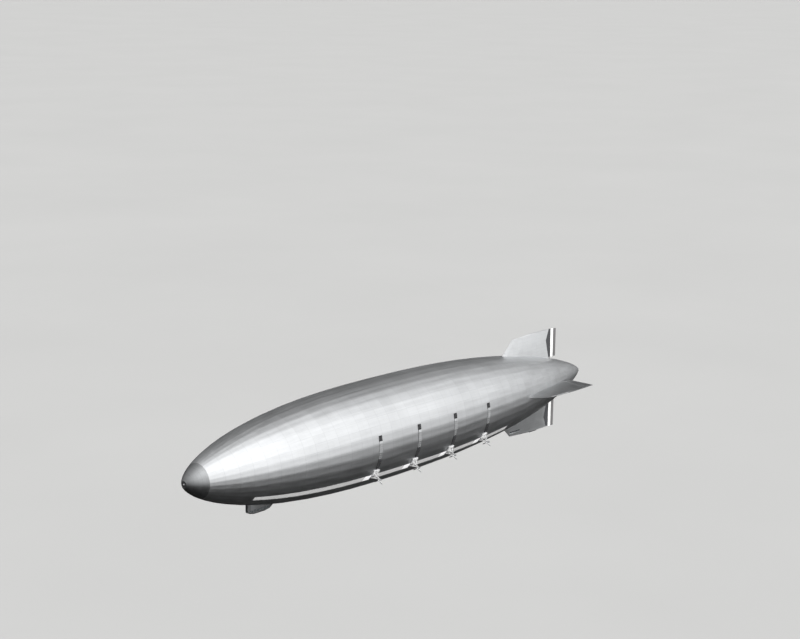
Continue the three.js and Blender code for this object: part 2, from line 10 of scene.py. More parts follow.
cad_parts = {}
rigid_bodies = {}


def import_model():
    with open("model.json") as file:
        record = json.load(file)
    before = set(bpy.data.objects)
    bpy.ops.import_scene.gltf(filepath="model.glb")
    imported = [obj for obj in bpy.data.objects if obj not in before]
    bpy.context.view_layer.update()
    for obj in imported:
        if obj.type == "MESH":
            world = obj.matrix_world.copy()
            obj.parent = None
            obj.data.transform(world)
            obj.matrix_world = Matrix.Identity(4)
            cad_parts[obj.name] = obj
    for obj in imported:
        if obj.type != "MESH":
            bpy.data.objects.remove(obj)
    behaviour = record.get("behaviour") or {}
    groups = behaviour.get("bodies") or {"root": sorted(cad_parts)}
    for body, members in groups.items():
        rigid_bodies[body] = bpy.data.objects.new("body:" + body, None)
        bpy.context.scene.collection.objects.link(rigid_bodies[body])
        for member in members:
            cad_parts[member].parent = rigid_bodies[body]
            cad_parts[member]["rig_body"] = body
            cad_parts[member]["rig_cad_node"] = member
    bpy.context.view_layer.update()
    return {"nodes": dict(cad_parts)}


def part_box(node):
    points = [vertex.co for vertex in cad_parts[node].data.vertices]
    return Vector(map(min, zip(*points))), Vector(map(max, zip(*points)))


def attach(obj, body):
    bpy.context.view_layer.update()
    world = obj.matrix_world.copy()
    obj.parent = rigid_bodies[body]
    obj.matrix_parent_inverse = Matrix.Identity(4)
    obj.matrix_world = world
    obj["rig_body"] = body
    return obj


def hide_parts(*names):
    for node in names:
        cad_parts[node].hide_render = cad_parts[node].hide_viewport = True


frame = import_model()

# Camera
# It looks down on the port bow from far off, as the photograph was taken.
CAMERA_PLACE = (50.716, 45.442, 19.391)
CAMERA_BEARING = 48.389  # degrees from the port beam towards the bow
CAMERA_ANGLE = 12.476  # degrees above the level
CAMERA_ROLL = 0.7045
CAMERA_LENS = 78.615
bpy.ops.object.camera_add(location=CAMERA_PLACE)
camera = bpy.context.object
camera.name = "camera"
bearing = Matrix.Rotation(math.radians(180 - CAMERA_BEARING), 4, "Z")
nod = Matrix.Rotation(math.radians(90 - CAMERA_ANGLE), 4, "X")
roll = Matrix.Rotation(math.radians(CAMERA_ROLL), 4, "Z")
camera.matrix_world = Matrix.Translation(CAMERA_PLACE) @ bearing @ nod @ roll
camera.data.sensor_fit = "HORIZONTAL"
camera.data.sensor_width = 36
camera.data.lens = CAMERA_LENS
camera.data.clip_start = 0.5
camera.data.clip_end = 5000
bpy.context.scene.camera = camera

# Floor and light
# A plain pale floor well below the ship. Soft lamps from high and low on the port side, and a weak one to
# starboard, light the matt surfaces. The doped cloth mirrors the room, whose walls glow behind the lamps.
FLOOR_LEVEL = -60.0
FLOOR_SIZE = 6000
FLOOR_GREY = (0.44, 0.44, 0.435)
LAMPS = (
    # name, way from the ship towards it, strength, spread in degrees
    ("key_lamp", (-0.18, 0.735, 0.65), 1.6, 10.0),
    ("low_lamp", (0.3, 0.75, -0.6), 2.1, 40.0),
    ("far_lamp", (0.3, -0.8, 0.45), 0.9, 40.0),
)
ROOM_ABOVE = 0.04
ROOM_BELOW = 0.012
ROOM_HORIZON = (-0.38, -0.12)  # heights of a look where the lower room ends and the walls begin
ROOM_GLOWS = (
    # way towards its middle, strength, cosine of the angle where it ends, falling off, highest share
    ((-0.18, 0.78, 0.55), 2.85, -0.3, 3.6, 0.6),
    ((0.3, 0.1, 0.95), 0.95, 0.0, 4.0, 1.0),
    ((0.3, -0.8, 0.45), 0.45, 0.0, 6.0, 1.0),
)
BACKDROP_TONE = 0.5


def new_material(name, color, metallic=0.0, roughness=0.5):
    """A material with one principled shader, set to these plain values."""
    material = bpy.data.materials.new(name)
    material.use_nodes = True
    shader = material.node_tree.nodes["Principled BSDF"]
    shader.inputs["Base Color"].default_value = (*color, 1)
    shader.inputs["Metallic"].default_value = metallic
    shader.inputs["Roughness"].default_value = roughness
    material.diffuse_color = (*color, 1)
    return material


def node(tree, kind, inputs=None, **settings):
    """A shader node: an input is a number, a colour, or another node's output that is joined to it."""
    made = tree.nodes.new("ShaderNode" + kind)
    for name, value in settings.items():
        setattr(made, name, value)
    for key, value in (inputs or {}).items():
        if isinstance(value, bpy.types.NodeSocket):
            tree.links.new(value, made.inputs[key])
        else:
            made.inputs[key].default_value = value
    return made


def reckon(tree, operation, first, second=0.0, third=0.0):
    """The result of one sum on numbers or node outputs."""
    return node(tree, "Math", {0: first, 1: second, 2: third}, operation=operation).outputs[0]


def spread(tree, value, low, high, to_low, to_high):
    """Stretches a value from one range to another."""
    inputs = {0: value, 1: low, 2: high, 3: to_low, 4: to_high}
    return node(tree, "MapRange", inputs).outputs[0]


def blend_colors(tree, share, first, second):
    """A colour between two, by a share from 0 to 1."""
    return node(tree, "Mix", {0: share, 6: first, 7: second}, data_type="RGBA").outputs[2]


def grain(tree, scale, stretch=(1, 1, 1), detail=3.0):
    """A cloudy pattern in the piece's own place, stretched along its axes."""
    place = node(tree, "TexCoord").outputs["Object"]
    mapped = node(tree, "Mapping", {"Vector": place, "Scale": stretch}).outputs[0]
    inputs = {"Vector": mapped, "Scale": scale, "Detail": detail, "Roughness": 0.55}
    return node(tree, "TexNoise", inputs).outputs["Fac"]


def worn(name, color, metallic, roughness, darkest, scale, rough_change=0.08, bump=0.0, stretch=(1, 1, 1)):
    """A material with an uneven tone, sheen and skin from cloudy patterns."""
    material = new_material(name, color, metallic, roughness)
    tree = material.node_tree
    shader = tree.nodes["Principled BSDF"]
    color = tuple(shader.inputs["Base Color"].default_value)
    cloud = spread(tree, grain(tree, scale, stretch), 0.3, 0.7, 0, 1)
    shade = tuple(value * darkest for value in color[:3]) + (1,)
    tree.links.new(blend_colors(tree, cloud, shade, color), shader.inputs["Base Color"])
    rough = shader.inputs["Roughness"].default_value
    fine = grain(tree, scale * 3.1, stretch)
    sheen = spread(tree, fine, 0.3, 0.7, rough + rough_change, rough - rough_change)
    tree.links.new(sheen, shader.inputs["Roughness"])
    if bump:
        inputs = {"Strength": 0.35, "Distance": bump, "Height": grain(tree, scale * 6, stretch)}
        tree.links.new(node(tree, "Bump", inputs).outputs[0], shader.inputs["Normal"])
    return material


bpy.ops.mesh.primitive_plane_add(size=FLOOR_SIZE, location=(0, 0, FLOOR_LEVEL))
floor = bpy.context.object
floor.name = "floor"
floor_paint = worn("floor_paint", FLOOR_GREY, 0.0, 0.9, 0.97, 0.02, 0.02)
floor.data.materials.append(floor_paint)
# The low lamp shines up through the floor, which neither lights the ship nor is mirrored in it.
floor.visible_diffuse = False
floor.visible_glossy = False
floor.visible_shadow = False

for label, way, strength, wide in LAMPS:
    bpy.ops.object.light_add(type="SUN", location=(0, 0, 30))
    lamp = bpy.context.object
    lamp.name = label
    lamp.rotation_euler = Vector(way).to_track_quat("Z", "Y").to_euler()
    lamp.data.energy = strength
    lamp.data.angle = math.radians(wide)
    lamp.visible_glossy = False

room = bpy.data.worlds.new("room")
room.use_nodes = True
tree = room.node_tree
bpy.context.scene.world = room
direction = node(tree, "TexCoord").outputs["Generated"]
height = node(tree, "SeparateXYZ", {0: direction}).outputs[2]
walls = ROOM_ABOVE
for way, strength, dark, falling, highest in ROOM_GLOWS:
    middle = tuple(Vector(way).normalized())
    nearness = node(tree, "VectorMath", {0: direction, 1: middle}, operation="DOT_PRODUCT")
    glow = spread(tree, nearness.outputs["Value"], dark, 1.0, 0, 1)
    glow = reckon(tree, "MINIMUM", reckon(tree, "POWER", glow, falling), highest)
    walls = reckon(tree, "MULTIPLY_ADD", glow, strength, walls)
room_tone = spread(tree, height, *ROOM_HORIZON, ROOM_BELOW, walls)
seen = node(tree, "LightPath").outputs["Is Camera Ray"]
room_tone = spread(tree, seen, 0, 1, room_tone, BACKDROP_TONE)
room_light = tree.nodes["Background"]
room_light.inputs["Color"].default_value = (1, 1, 1, 1)
tree.links.new(room_tone, room_light.inputs["Strength"])
bpy.context.scene.view_settings.view_transform = "Standard"

# Envelope
# Cotton cloth laced over 36 lengthwise girders and the frames, and doped with aluminium. Each stretch
# between main frames is its own piece, 10 mm thick, and sags a little between girders and hoops.
LIFT_FRAME = 104.0  # frames are metres of the real ship, and the model is a tenth of that
NOSE_FRAME = 215.5
TAIL_FRAME = -23.8
WIDEST_FRAME = 112.0
HULL_RADIUS = 2.025
SIDES = 36
SKIN = 0.01
SEAT = 0.0003
CONE_FRAME = -19.0
CAP_FRAME = 208.5
CAP_FLAT_FRAME = 215.0
STRETCHES = (
    # piece, rear frame, front frame, bays, rings of the frame's own form, bunching of those rings
    ("envelope_stern", CONE_FRAME, 35.0, 10, 9, 1.35),
    ("envelope_aft", 35.0, 80.0, 8, 4, 1),
    ("envelope_middle", 80.0, 125.0, 8, 3, 1),
    ("envelope_forward", 125.0, 170.0, 8, 4, 1),
    ("envelope_bow", 170.0, CAP_FRAME, 7, 7, -1.35),
)
ENGINE_FRAMES = (132.0, 109.5, 87.0, 64.5)
KEEL_ANGLE = math.radians(-40)
SHAFT_HOLE = 0.027
POST_FRAME = -1.2
POST_HOLE = 0.0152
DOORWAY = {"rear": 132.2, "crook": 138.5, "front": 141.7, "bar": 0.43, "stem": 0.16}
CLOTH_GREY = (0.60, 0.61, 0.62)
SAG = 0.0022
SAG_RADIUS = 1.9  # the distance from the axis at which the sag is as deep as it says
BAY_ROWS = 4  # rows of facets from hoop to hoop
ROW_SAGS = ((1.0, (2,)), (0.72, (1, 3)))  # depth, and which of those rows
COLUMN_SAGS = ((1.0, 0.45, 0.55), (0.74, 0.2, 0.3), (0.74, 0.7, 0.8))  # depth, and where between girders
HOLE_SIDES = 20
SHAFT_CUT = 5  # the cutters of the holes go through the whole hull
POST_CUT = 3
CLOTH_SHEEN = 0.46
CLOTH_BLOTCHES = 0.22
CLOTH_LOOK = {
    # changes of tone by panel, streak and tape, change of roughness, and the weave's own numbers
    "panels": 0.04, "streaks": 0.28, "tapes": -0.09, "sheen": 0.16,
    "threads": 45, "weave": 0.3, "depth": 0.0012,
}
GIRDER_TAPE = (0.465, 0.485)  # where a tape begins and is full, with a panel's edge at 0.5
HOOP_TAPE = (0.478, 0.49)
MID_TAPE = (0.012, 0.006)  # a fainter tape across each panel's middle


def along(number):
    """The place of a frame along the model, in metres."""
    return (number - LIFT_FRAME) / 10


def curve_radius(number):
    """The hull's radius on its smooth curve."""
    ahead = number > WIDEST_FRAME
    power, root, end = (2.5, 0.61, NOSE_FRAME) if ahead else (2.3, 0.75, TAIL_FRAME)
    share = (number - WIDEST_FRAME) / (end - WIDEST_FRAME)
    return HULL_RADIUS * max(0.0, 1 - share**power) ** root


def ring_frames(rear, front, count, bunching):
    """Frames from rear to front, crowded at the tail by a bunching over 1 and at the bow by one under 0."""
    shares = [i / count for i in range(count + 1)]
    moved = [t**bunching if bunching > 0 else 1 - (1 - t) ** -bunching for t in shares]
    return [rear + (front - rear) * t for t in moved]


hull_rings = ring_frames(TAIL_FRAME, CONE_FRAME, 4, 1.6)
for _, rear, front, _, rings, bunching in STRETCHES:
    hull_rings += ring_frames(rear, front, rings, bunching)[1:]
hull_rings += ring_frames(CAP_FRAME, CAP_FLAT_FRAME, 5, -1.6)[1:]


def skin_radius(number):
    """The hull's radius, straight between its main rings."""
    after = next((i for i, ring in enumerate(hull_rings) if ring >= number - 1e-6), len(hull_rings) - 1)
    after = max(1, after)
    low, high = hull_rings[after - 1], hull_rings[after]
    share = (number - low) / (high - low)
    return curve_radius(low) + (curve_radius(high) - curve_radius(low)) * share


def only(piece):
    """Leaves this piece alone selected and active."""
    bpy.ops.object.select_all(action="DESELECT")
    piece.select_set(True)
    bpy.context.view_layer.objects.active = piece


def edit(piece):
    """Opens a piece in edit mode with all of it selected."""
    only(piece)
    bpy.ops.object.mode_set(mode="EDIT")
    bpy.ops.mesh.select_mode(type="VERT")
    bpy.ops.mesh.select_all(action="SELECT")


def leave():
    """Closes edit mode."""
    bpy.ops.object.mode_set(mode="OBJECT")


def choose(kind, test):
    """Selects the vertices, edges or faces whose place and normal pass a test. Returns how many."""
    bpy.ops.mesh.select_mode(type=kind)
    bpy.ops.mesh.select_all(action="DESELECT")
    mesh = bmesh.from_edit_mesh(bpy.context.object.data)
    mesh.normal_update()
    if kind == "VERT":
        found = [v for v in mesh.verts if test(v.co, v.normal)]
    elif kind == "EDGE":
        middles = [(e, (e.verts[0].co + e.verts[1].co) / 2) for e in mesh.edges]
        found = [e for e, middle in middles if test(middle, (e.verts[1].co - e.verts[0].co).normalized())]
    else:
        found = [f for f in mesh.faces if test(f.calc_center_median(), f.normal)]
    for item in found:
        item.select_set(True)
    mesh.select_flush_mode()
    bmesh.update_edit_mesh(bpy.context.object.data)
    return len(found)


def modify(piece, kind, **settings):
    """Adds a modifier to a piece and applies it."""
    only(piece)
    bpy.ops.object.modifier_add(type=kind)
    modifier = piece.modifiers[-1]
    for name, value in settings.items():
        setattr(modifier, name, value)
    bpy.ops.object.modifier_apply(modifier=modifier.name)


def smooth(piece, degrees):
    """Shades a piece smooth, but for edges sharper than this."""
    only(piece)
    bpy.ops.object.shade_smooth_by_angle(angle=math.radians(degrees))


def coat(piece, *materials):
    """Gives a piece more materials, of which the last is the one that faces are assigned to."""
    for material in materials:
        piece.data.materials.append(material)
    piece.active_material_index = len(piece.data.materials) - 1


def dress(piece, degrees, material):
    """Gives a piece its material, and shades it smooth but for edges sharper than this."""
    coat(piece, material)
    smooth(piece, degrees)


def face_outwards(piece, outwards):
    """Turns all faces one way, and that way outwards by a rule for a face's place."""
    edit(piece)
    bpy.ops.mesh.normals_make_consistent(inside=False)
    mesh = bmesh.from_edit_mesh(piece.data)
    mesh.normal_update()
    total = sum(f.normal.dot(outwards(f.calc_center_median())) * f.calc_area() for f in mesh.faces)
    if total < 0:
        bpy.ops.mesh.flip_normals()
    leave()


def from_axis(place):
    """Straight out from the x axis."""
    return Vector((0, place.y, place.z))


def scale_by(x, y, z, middle=(0, 0, 0)):
    """Scales the selection about a point."""
    bpy.ops.transform.resize(value=(x, y, z), center_override=middle)


def turn_by(angle, axis, middle=(0, 0, 0)):
    """Turns the selection about an axis through a point."""
    bpy.ops.transform.rotate(value=angle, orient_axis=axis, center_override=middle)


def pull(x=0, z=0):
    """Extrudes the selection along x or z, or in its own place to be scaled next."""
    bpy.ops.mesh.extrude_region_move(TRANSFORM_OT_translate={"value": (x, 0, z)})


def drawn_tube(name, profile, sides, cuts=0, turn=0.0):
    """A tube about the x axis: a circle, extruded from each (x, radius) of a profile to the next."""
    bpy.ops.mesh.primitive_circle_add(vertices=sides, radius=profile[0][1])
    piece = bpy.context.object
    piece.name = piece.data.name = name
    edit(piece)
    turn_by(turn, "Z")
    turn_by(math.pi / 2, "Y")
    bpy.ops.transform.translate(value=(profile[0][0], 0, 0))
    if cuts:
        bpy.ops.mesh.subdivide(number_cuts=cuts)
    for (here, radius), (there, next_radius) in zip(profile, profile[1:]):
        pull(x=there - here)
        scale_by(1, next_radius / radius, next_radius / radius, (there, 0, 0))
    leave()
    return piece


def skin_profile(frames, offset=0.0):
    """The (x, radius) pairs of the hull's skin at some frames."""
    return [(along(number), skin_radius(number) + offset) for number in frames]


def panel_share(place):
    """Where a point lies across its flat side, from 0 at one girder to 1 at the next."""
    return (math.degrees(math.atan2(place.z, place.y)) / 10 + 36.5) % 1


def middle_gap(tree, value):
    """How far the fraction of a value lies from a half."""
    return reckon(tree, "ABSOLUTE", reckon(tree, "SUBTRACT", reckon(tree, "FRACT", value), 0.5))


def vary(tree, value, amount, base):
    """A base that is raised or lowered by a value between 0 and 1."""
    return reckon(tree, "MULTIPLY_ADD", reckon(tree, "SUBTRACT", value, 0.5), amount, base)


def finish_cloth(material, color, roughness, panel, tape, streaks, look, tone=1.0):
    """Gives a cloth its panels' and streaks' tones, the tapes' darker one, and its sheen and weave."""
    tree = material.node_tree
    cell = node(tree, "CombineXYZ", {0: reckon(tree, "FLOOR", panel[0]), 1: reckon(tree, "FLOOR", panel[1])})
    chance = node(tree, "TexWhiteNoise", {0: cell.outputs[0]}).outputs["Value"]
    tone = vary(tree, chance, look["panels"], tone)
    tone = vary(tree, streaks, look["streaks"], tone)
    tone = reckon(tree, "MULTIPLY_ADD", tape, look["tapes"], tone)
    scaled = node(tree, "VectorMath", {0: color, "Scale": tone}, operation="SCALE").outputs[0]
    sheen = vary(tree, streaks, look["sheen"], roughness)
    weave = reckon(tree, "MULTIPLY_ADD", grain(tree, look["threads"], (1, 1, 1), 2), look["weave"], tape)
    bump = node(tree, "Bump", {"Strength": 0.25, "Distance": look["depth"], "Height": weave}).outputs[0]
    for name, value in (("Base Color", scaled), ("Roughness", sheen), ("Normal", bump)):
        tree.links.new(value, tree.nodes["Principled BSDF"].inputs[name])
    return material


def doped_cloth(name, color, first_x, bay, metallic=1.0, roughness=CLOTH_SHEEN):
    """Doped cloth: each panel has its own tone, with tapes over the girders and hoops, and faint streaks."""
    material = new_material(name, color, metallic, roughness)
    tree = material.node_tree
    axes = node(tree, "SeparateXYZ", {0: node(tree, "TexCoord").outputs["Object"]}).outputs
    angle = reckon(tree, "ARCTAN2", axes[2], axes[1])
    side = reckon(tree, "MULTIPLY_ADD", angle, SIDES / (2 * math.pi), SIDES + 0.5)
    hoop = reckon(tree, "MULTIPLY", reckon(tree, "SUBTRACT", axes[0], first_x), 1 / bay)
    girder_tape = spread(tree, middle_gap(tree, side), *GIRDER_TAPE, 0, 1)
    hoop_tape = spread(tree, middle_gap(tree, hoop), *HOOP_TAPE, 0, 1)
    mid_tape = spread(tree, middle_gap(tree, hoop), *MID_TAPE, 0, 0.5)
    tape = reckon(tree, "MAXIMUM", reckon(tree, "MAXIMUM", girder_tape, hoop_tape), mid_tape)
    streaks = grain(tree, 1.0, (0.25, 9, 9), 4)
    blotches = vary(tree, grain(tree, 0.8, (1, 1, 1), 4), CLOTH_BLOTCHES, 1.0)
    return finish_cloth(material, color, roughness, (side, hoop), tape, streaks, CLOTH_LOOK, blotches)


def cut_out(piece, cutter):
    """Takes a cutter's shape out of a piece and deletes the cutter."""
    modify(piece, "BOOLEAN", object=cutter, operation="DIFFERENCE", solver="EXACT")
    bpy.data.objects.remove(cutter)


def drum(sides, radius, depth, place=(0, 0, 0), turn=(0, 0, 0)):
    """A plain cylinder, upright before its turn."""
    bpy.ops.mesh.primitive_cylinder_add(
        vertices=sides, radius=radius, depth=depth, location=place, rotation=turn
    )
    return bpy.context.object


def hull_flat(number):
    """The distance from the axis to the middle of a flat side."""
    return skin_radius(number) * math.cos(math.pi / SIDES)


for piece_name, rear, front, bays, _, _ in STRETCHES:
    step = (front - rear) / bays / BAY_ROWS
    frames = [rear + step * i for i in range(bays * BAY_ROWS + 1)]
    frames[0] += SEAT * 5
    frames[-1] -= SEAT * 5
    cloth_piece = drawn_tube(piece_name + "_cloth", skin_profile(frames), SIDES, 3, math.pi / SIDES)
    first = along(rear)
    edit(cloth_piece)
    for row_depth, rows in ROW_SAGS:
        for depth, low, high in COLUMN_SAGS:
            found = choose(
                "VERT",
                lambda p, n: round((p.x - first) * 10 / step) % BAY_ROWS in rows
                and low < panel_share(p) < high,
            )
            if found:
                narrower = 1 - SAG * row_depth * depth / SAG_RADIUS
                scale_by(1, narrower, narrower)
    leave()
    face_outwards(cloth_piece, from_axis)
    modify(cloth_piece, "SOLIDIFY", thickness=SKIN, offset=-1)
    for number in ENGINE_FRAMES:
        if rear < number < front:
            place = (along(number), 0, hull_flat(number) * math.sin(KEEL_ANGLE))
            cut_out(cloth_piece, drum(HOLE_SIDES, SHAFT_HOLE, SHAFT_CUT, place, (math.pi / 2, 0, 0)))
    if rear < POST_FRAME < front:
        place = (along(POST_FRAME), 0, 0)
        for lean in (0, math.pi / 2):
            cut_out(cloth_piece, drum(HOLE_SIDES, POST_HOLE, POST_CUT, place, (lean, 0, 0)))
    if rear < DOORWAY["crook"] < front:
        for back, half in (("rear", "stem"), ("crook", "bar")):
            low_x, high_x = along(DOORWAY[back]), along(DOORWAY["front"])
            bpy.ops.mesh.primitive_cube_add(
                size=1, location=((low_x + high_x) / 2, 0, -2), scale=(high_x - low_x, 2 * DOORWAY[half], 0.4)
            )
            cut_out(cloth_piece, bpy.context.object)
    bay_cloth = doped_cloth(piece_name + "_dope", CLOTH_GREY, first, (front - rear) / bays / 10)
    dress(cloth_piece, 16, bay_cloth)
    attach(cloth_piece, "ship")
    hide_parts(piece_name)

# Bow cap and mooring spindle
# The cap is a dome of riveted sheet over the bow's last frame. The spindle is turned steel, bolted to the
# cap's flat front, and goes into the cup of a mooring mast.
# The cap's sheet is darker than the cloth, partly as painted shade where the bow's highlight fades towards
# the nose.
CAP_SHADED_GREY = (0.385, 0.393, 0.40)
CAP_ROOM = 0.015  # in frames, from the cloth's end to the cap or the cone
CAP_RING = 0.45  # a ring on the cap's flat front, as a share of its radius
SPINDLE_PROFILE = (
    # distance from the rear face, radius
    (0.0, 0.055), (0.009, 0.055), (0.012, 0.051), (0.014, 0.040), (0.034, 0.031),
    (0.036, 0.034), (0.041, 0.034), (0.043, 0.027), (0.0475, 0.025), (0.0497, 0.022),
)


def even_out(piece):
    """Turns all faces of a closed piece outwards."""
    edit(piece)
    bpy.ops.mesh.normals_make_consistent(inside=False)
    leave()


def closed_tube(name, profile, sides, turn=0.0):
    """A drawn tube whose first and last circles are filled."""
    piece = drawn_tube(name, profile, sides, 0, turn)
    edit(piece)
    for x, radius in (profile[0], profile[-1]):
        choose("VERT", lambda p, n: abs(p.x - x) < 1e-6 and abs(p.yz.length - radius) < 1e-5)
        bpy.ops.mesh.edge_face_add()
    leave()
    even_out(piece)
    return piece


def riveted_sheet(name, color, ring_gap, metallic, roughness):
    """Sheet metal in overlapping plates: seams every ring_gap metres along and every 30 degrees round."""
    material = worn(name, color, metallic, roughness, 0.86, 2.0, 0.06)
    tree = material.node_tree
    shader = tree.nodes["Principled BSDF"]
    axes = node(tree, "SeparateXYZ", {0: node(tree, "TexCoord").outputs["Object"]}).outputs
    angle = reckon(tree, "ARCTAN2", axes[2], axes[1])
    round_share = reckon(tree, "FRACT", reckon(tree, "MULTIPLY_ADD", angle, 12 / (2 * math.pi), 12.25))
    long_share = reckon(tree, "FRACT", reckon(tree, "MULTIPLY_ADD", axes[0], 1 / ring_gap, 100))
    round_seam = spread(tree, round_share, 0.012, 0.004, 0, 1)
    long_seam = spread(tree, long_share, 0.03, 0.01, 0, 1)
    seam = reckon(tree, "MAXIMUM", round_seam, long_seam)
    old = shader.inputs["Base Color"].links[0].from_socket
    dark = (*[value * 0.5 for value in color], 1)
    tree.links.new(blend_colors(tree, seam, old, dark), shader.inputs["Base Color"])
    return material


cap_step = (CAP_FLAT_FRAME - CAP_FRAME) / 10
cap_profile = skin_profile([CAP_FRAME + CAP_ROOM, *[CAP_FRAME + cap_step * i for i in range(1, 11)]])
cap = drawn_tube("bow_cap_sheet", cap_profile, SIDES, 1, math.pi / SIDES)
last_x = cap_profile[-1][0]
edit(cap)
choose("VERT", lambda p, n: abs(p.x - last_x) < 1e-5)
pull()
scale_by(1, CAP_RING, CAP_RING, (last_x, 0, 0))
bpy.ops.mesh.edge_face_add()
leave()
face_outwards(cap, lambda p: Vector((0.5, p.y, p.z)))
modify(cap, "SOLIDIFY", thickness=SKIN, offset=-1)
dress(cap, 30, riveted_sheet("bow_cap_metal", CAP_SHADED_GREY, 0.13, 1.0, 0.46))
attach(cap, "ship")
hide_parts("bow_cap")

spindle_start = along(CAP_FLAT_FRAME) + SEAT
spindle_profile = [(spindle_start + x, radius) for x, radius in SPINDLE_PROFILE]
spindle = closed_tube("mooring_spindle_steel", spindle_profile, 32)
dress(spindle, 35, worn("spindle_steel", (0.34, 0.34, 0.35), 0.9, 0.4, 0.7, 20))
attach(spindle, "ship")
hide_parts("mooring_spindle")

# Tail cone
# The cloth ends at a light cone with a ring of small windows in its upper half for the stern lookout.
CONE_FRAMES = (-19.8, -20.7, -21.5, -22.2, -22.8, -23.2, -23.5)
CONE_TIP = ((-23.7, 0.02), (-23.79, 0.006))  # frame, radius
LOOKOUT_REAR = -21.5
LOOKOUT_FRONT = -20.7
# Window glass is near-black and opaque, as painted shade of the dark rooms behind it.
WINDOW_SHADE = (0.03, 0.035, 0.04)


def press(piece, test, margin, depth, each=True):
    """Insets and sinks the faces that pass a test, and gives them the last material, if there is one."""
    edit(piece)
    choose("FACE", test)
    bpy.ops.mesh.inset(thickness=margin, depth=-depth, use_individual=each)
    if piece.data.materials:
        bpy.ops.object.material_slot_assign()
    leave()


cone_profile = skin_profile([CONE_FRAME - CAP_ROOM, *CONE_FRAMES])
cone_profile += [(along(number), radius) for number, radius in CONE_TIP]
cone = closed_tube("tail_cone_cloth", cone_profile, SIDES, math.pi / SIDES)
lookout_glass = worn("lookout_glass", WINDOW_SHADE, 0.0, 0.12, 0.8, 6, 0.02)
coat(cone, doped_cloth("cone_dope", CLOTH_GREY, along(-24), 0.24), lookout_glass)
press(cone, lambda p, n: along(LOOKOUT_REAR) < p.x < along(LOOKOUT_FRONT) and p.z > 0.05, 0.006, 0.003)
smooth(cone, 20)
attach(cone, "ship")
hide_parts("tail_cone")

# Light strip
# Panels over the lower walkway on each side, doped nearly white, with brighter plates just ahead of the
# outriggers. They are laced over the skin and break off at each outrigger, and the foremost stretch drops
# towards the bow.
STRIP_LOW = -42.9
STRIP_HIGH = -34.7
STRIP_THICK = 0.0025
STRIP_WHITE = (0.47, 0.47, 0.465)
# The plates are bare metal; their matt near-white is partly painted reflection of a bright ground below.
PLATE_REFLECTION_WHITE = (0.97, 0.97, 0.97)
STRIP_REAR = 46.0
STRIP_FRONT = 190.0
STRIP_DROP = 0.018  # metres for each metre forward, ahead of the foremost outrigger
GAP_BEHIND = -1.0  # the gap at each outrigger, from its frame
GAP_AHEAD = 1.2
PLATE_LENGTH = 3.8
PLATE_SEAM = 0.06


def patch_frames(rear, front, step):
    """Even frames over a patch, and the hull's own rings between them."""
    count = max(1, round((front - rear) / step))
    even = [rear + (front - rear) * i / count for i in range(count + 1)]
    between = [ring for ring in hull_rings if all(abs(ring - number) > 0.15 for number in even)]
    return sorted(even + [ring for ring in between if rear < ring < front])


def hull_patch(name, rear, front, low, high, thick, cuts=1, step=1.4, drop=0.0):
    """A raised plate on the port side between two frames and two angles, whose edges may drop forwards."""
    profile = skin_profile(patch_frames(rear, front, step), SEAT)
    piece = drawn_tube(name, profile, SIDES, cuts, math.pi / SIDES)
    for angle, below in ((math.radians(low), True), (math.radians(high), False)):
        edit(piece)
        bpy.ops.mesh.bisect(
            plane_co=(along(rear), 0, 0),
            plane_no=(drop, -math.sin(angle), math.cos(angle)),
            clear_inner=below,
            clear_outer=not below,
        )
        leave()
    face_outwards(piece, from_axis)
    modify(piece, "SOLIDIFY", thickness=thick, offset=1)
    return piece


def duplicate(piece, name):
    """A copy of a piece under its own name."""
    only(piece)
    bpy.ops.object.duplicate()
    copy = bpy.context.object
    copy.name = copy.data.name = name
    return copy


def both_sides(piece):
    """A piece on the port side and its mirrored copy, each with its side's name."""
    copy = duplicate(piece, piece.name.replace("port", "starboard"))
    edit(copy)
    scale_by(1, -1, 1)
    bpy.ops.mesh.flip_normals()
    leave()
    return (piece, "port"), (copy, "starboard")


strip_dope = doped_cloth("strip_dope", STRIP_WHITE, along(STRIP_REAR), 0.5625, 0.0, 0.6)
# Matt white stands in for the plates' reflection of the ground: painted reflection.
plate_metal_and_reflection = worn("plate_metal_and_reflection", PLATE_REFLECTION_WHITE, 0.0, 0.4, 0.95, 3)
strip_stops = [STRIP_REAR]
plate_stops = []
for number in sorted(ENGINE_FRAMES):
    strip_stops += [number + GAP_BEHIND, number + GAP_AHEAD + PLATE_LENGTH]
    plate_stops += [number + GAP_AHEAD, number + GAP_AHEAD + PLATE_LENGTH - PLATE_SEAM]
strip_stops.append(STRIP_FRONT)
strip_rows = (("light_strip", strip_stops, strip_dope), ("keel_plate", plate_stops, plate_metal_and_reflection))
for label, stops, finish in strip_rows:
    for index, (rear, front) in enumerate(zip(stops[0::2], stops[1::2]), 1):
        drop = STRIP_DROP if front == STRIP_FRONT else 0.0
        name = f"{label}_port_{index}"
        strip = hull_patch(name, rear, front, STRIP_LOW, STRIP_HIGH, STRIP_THICK, drop=drop)
        dress(strip, 12, finish)
        for piece, _ in both_sides(strip):
            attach(piece, "ship")

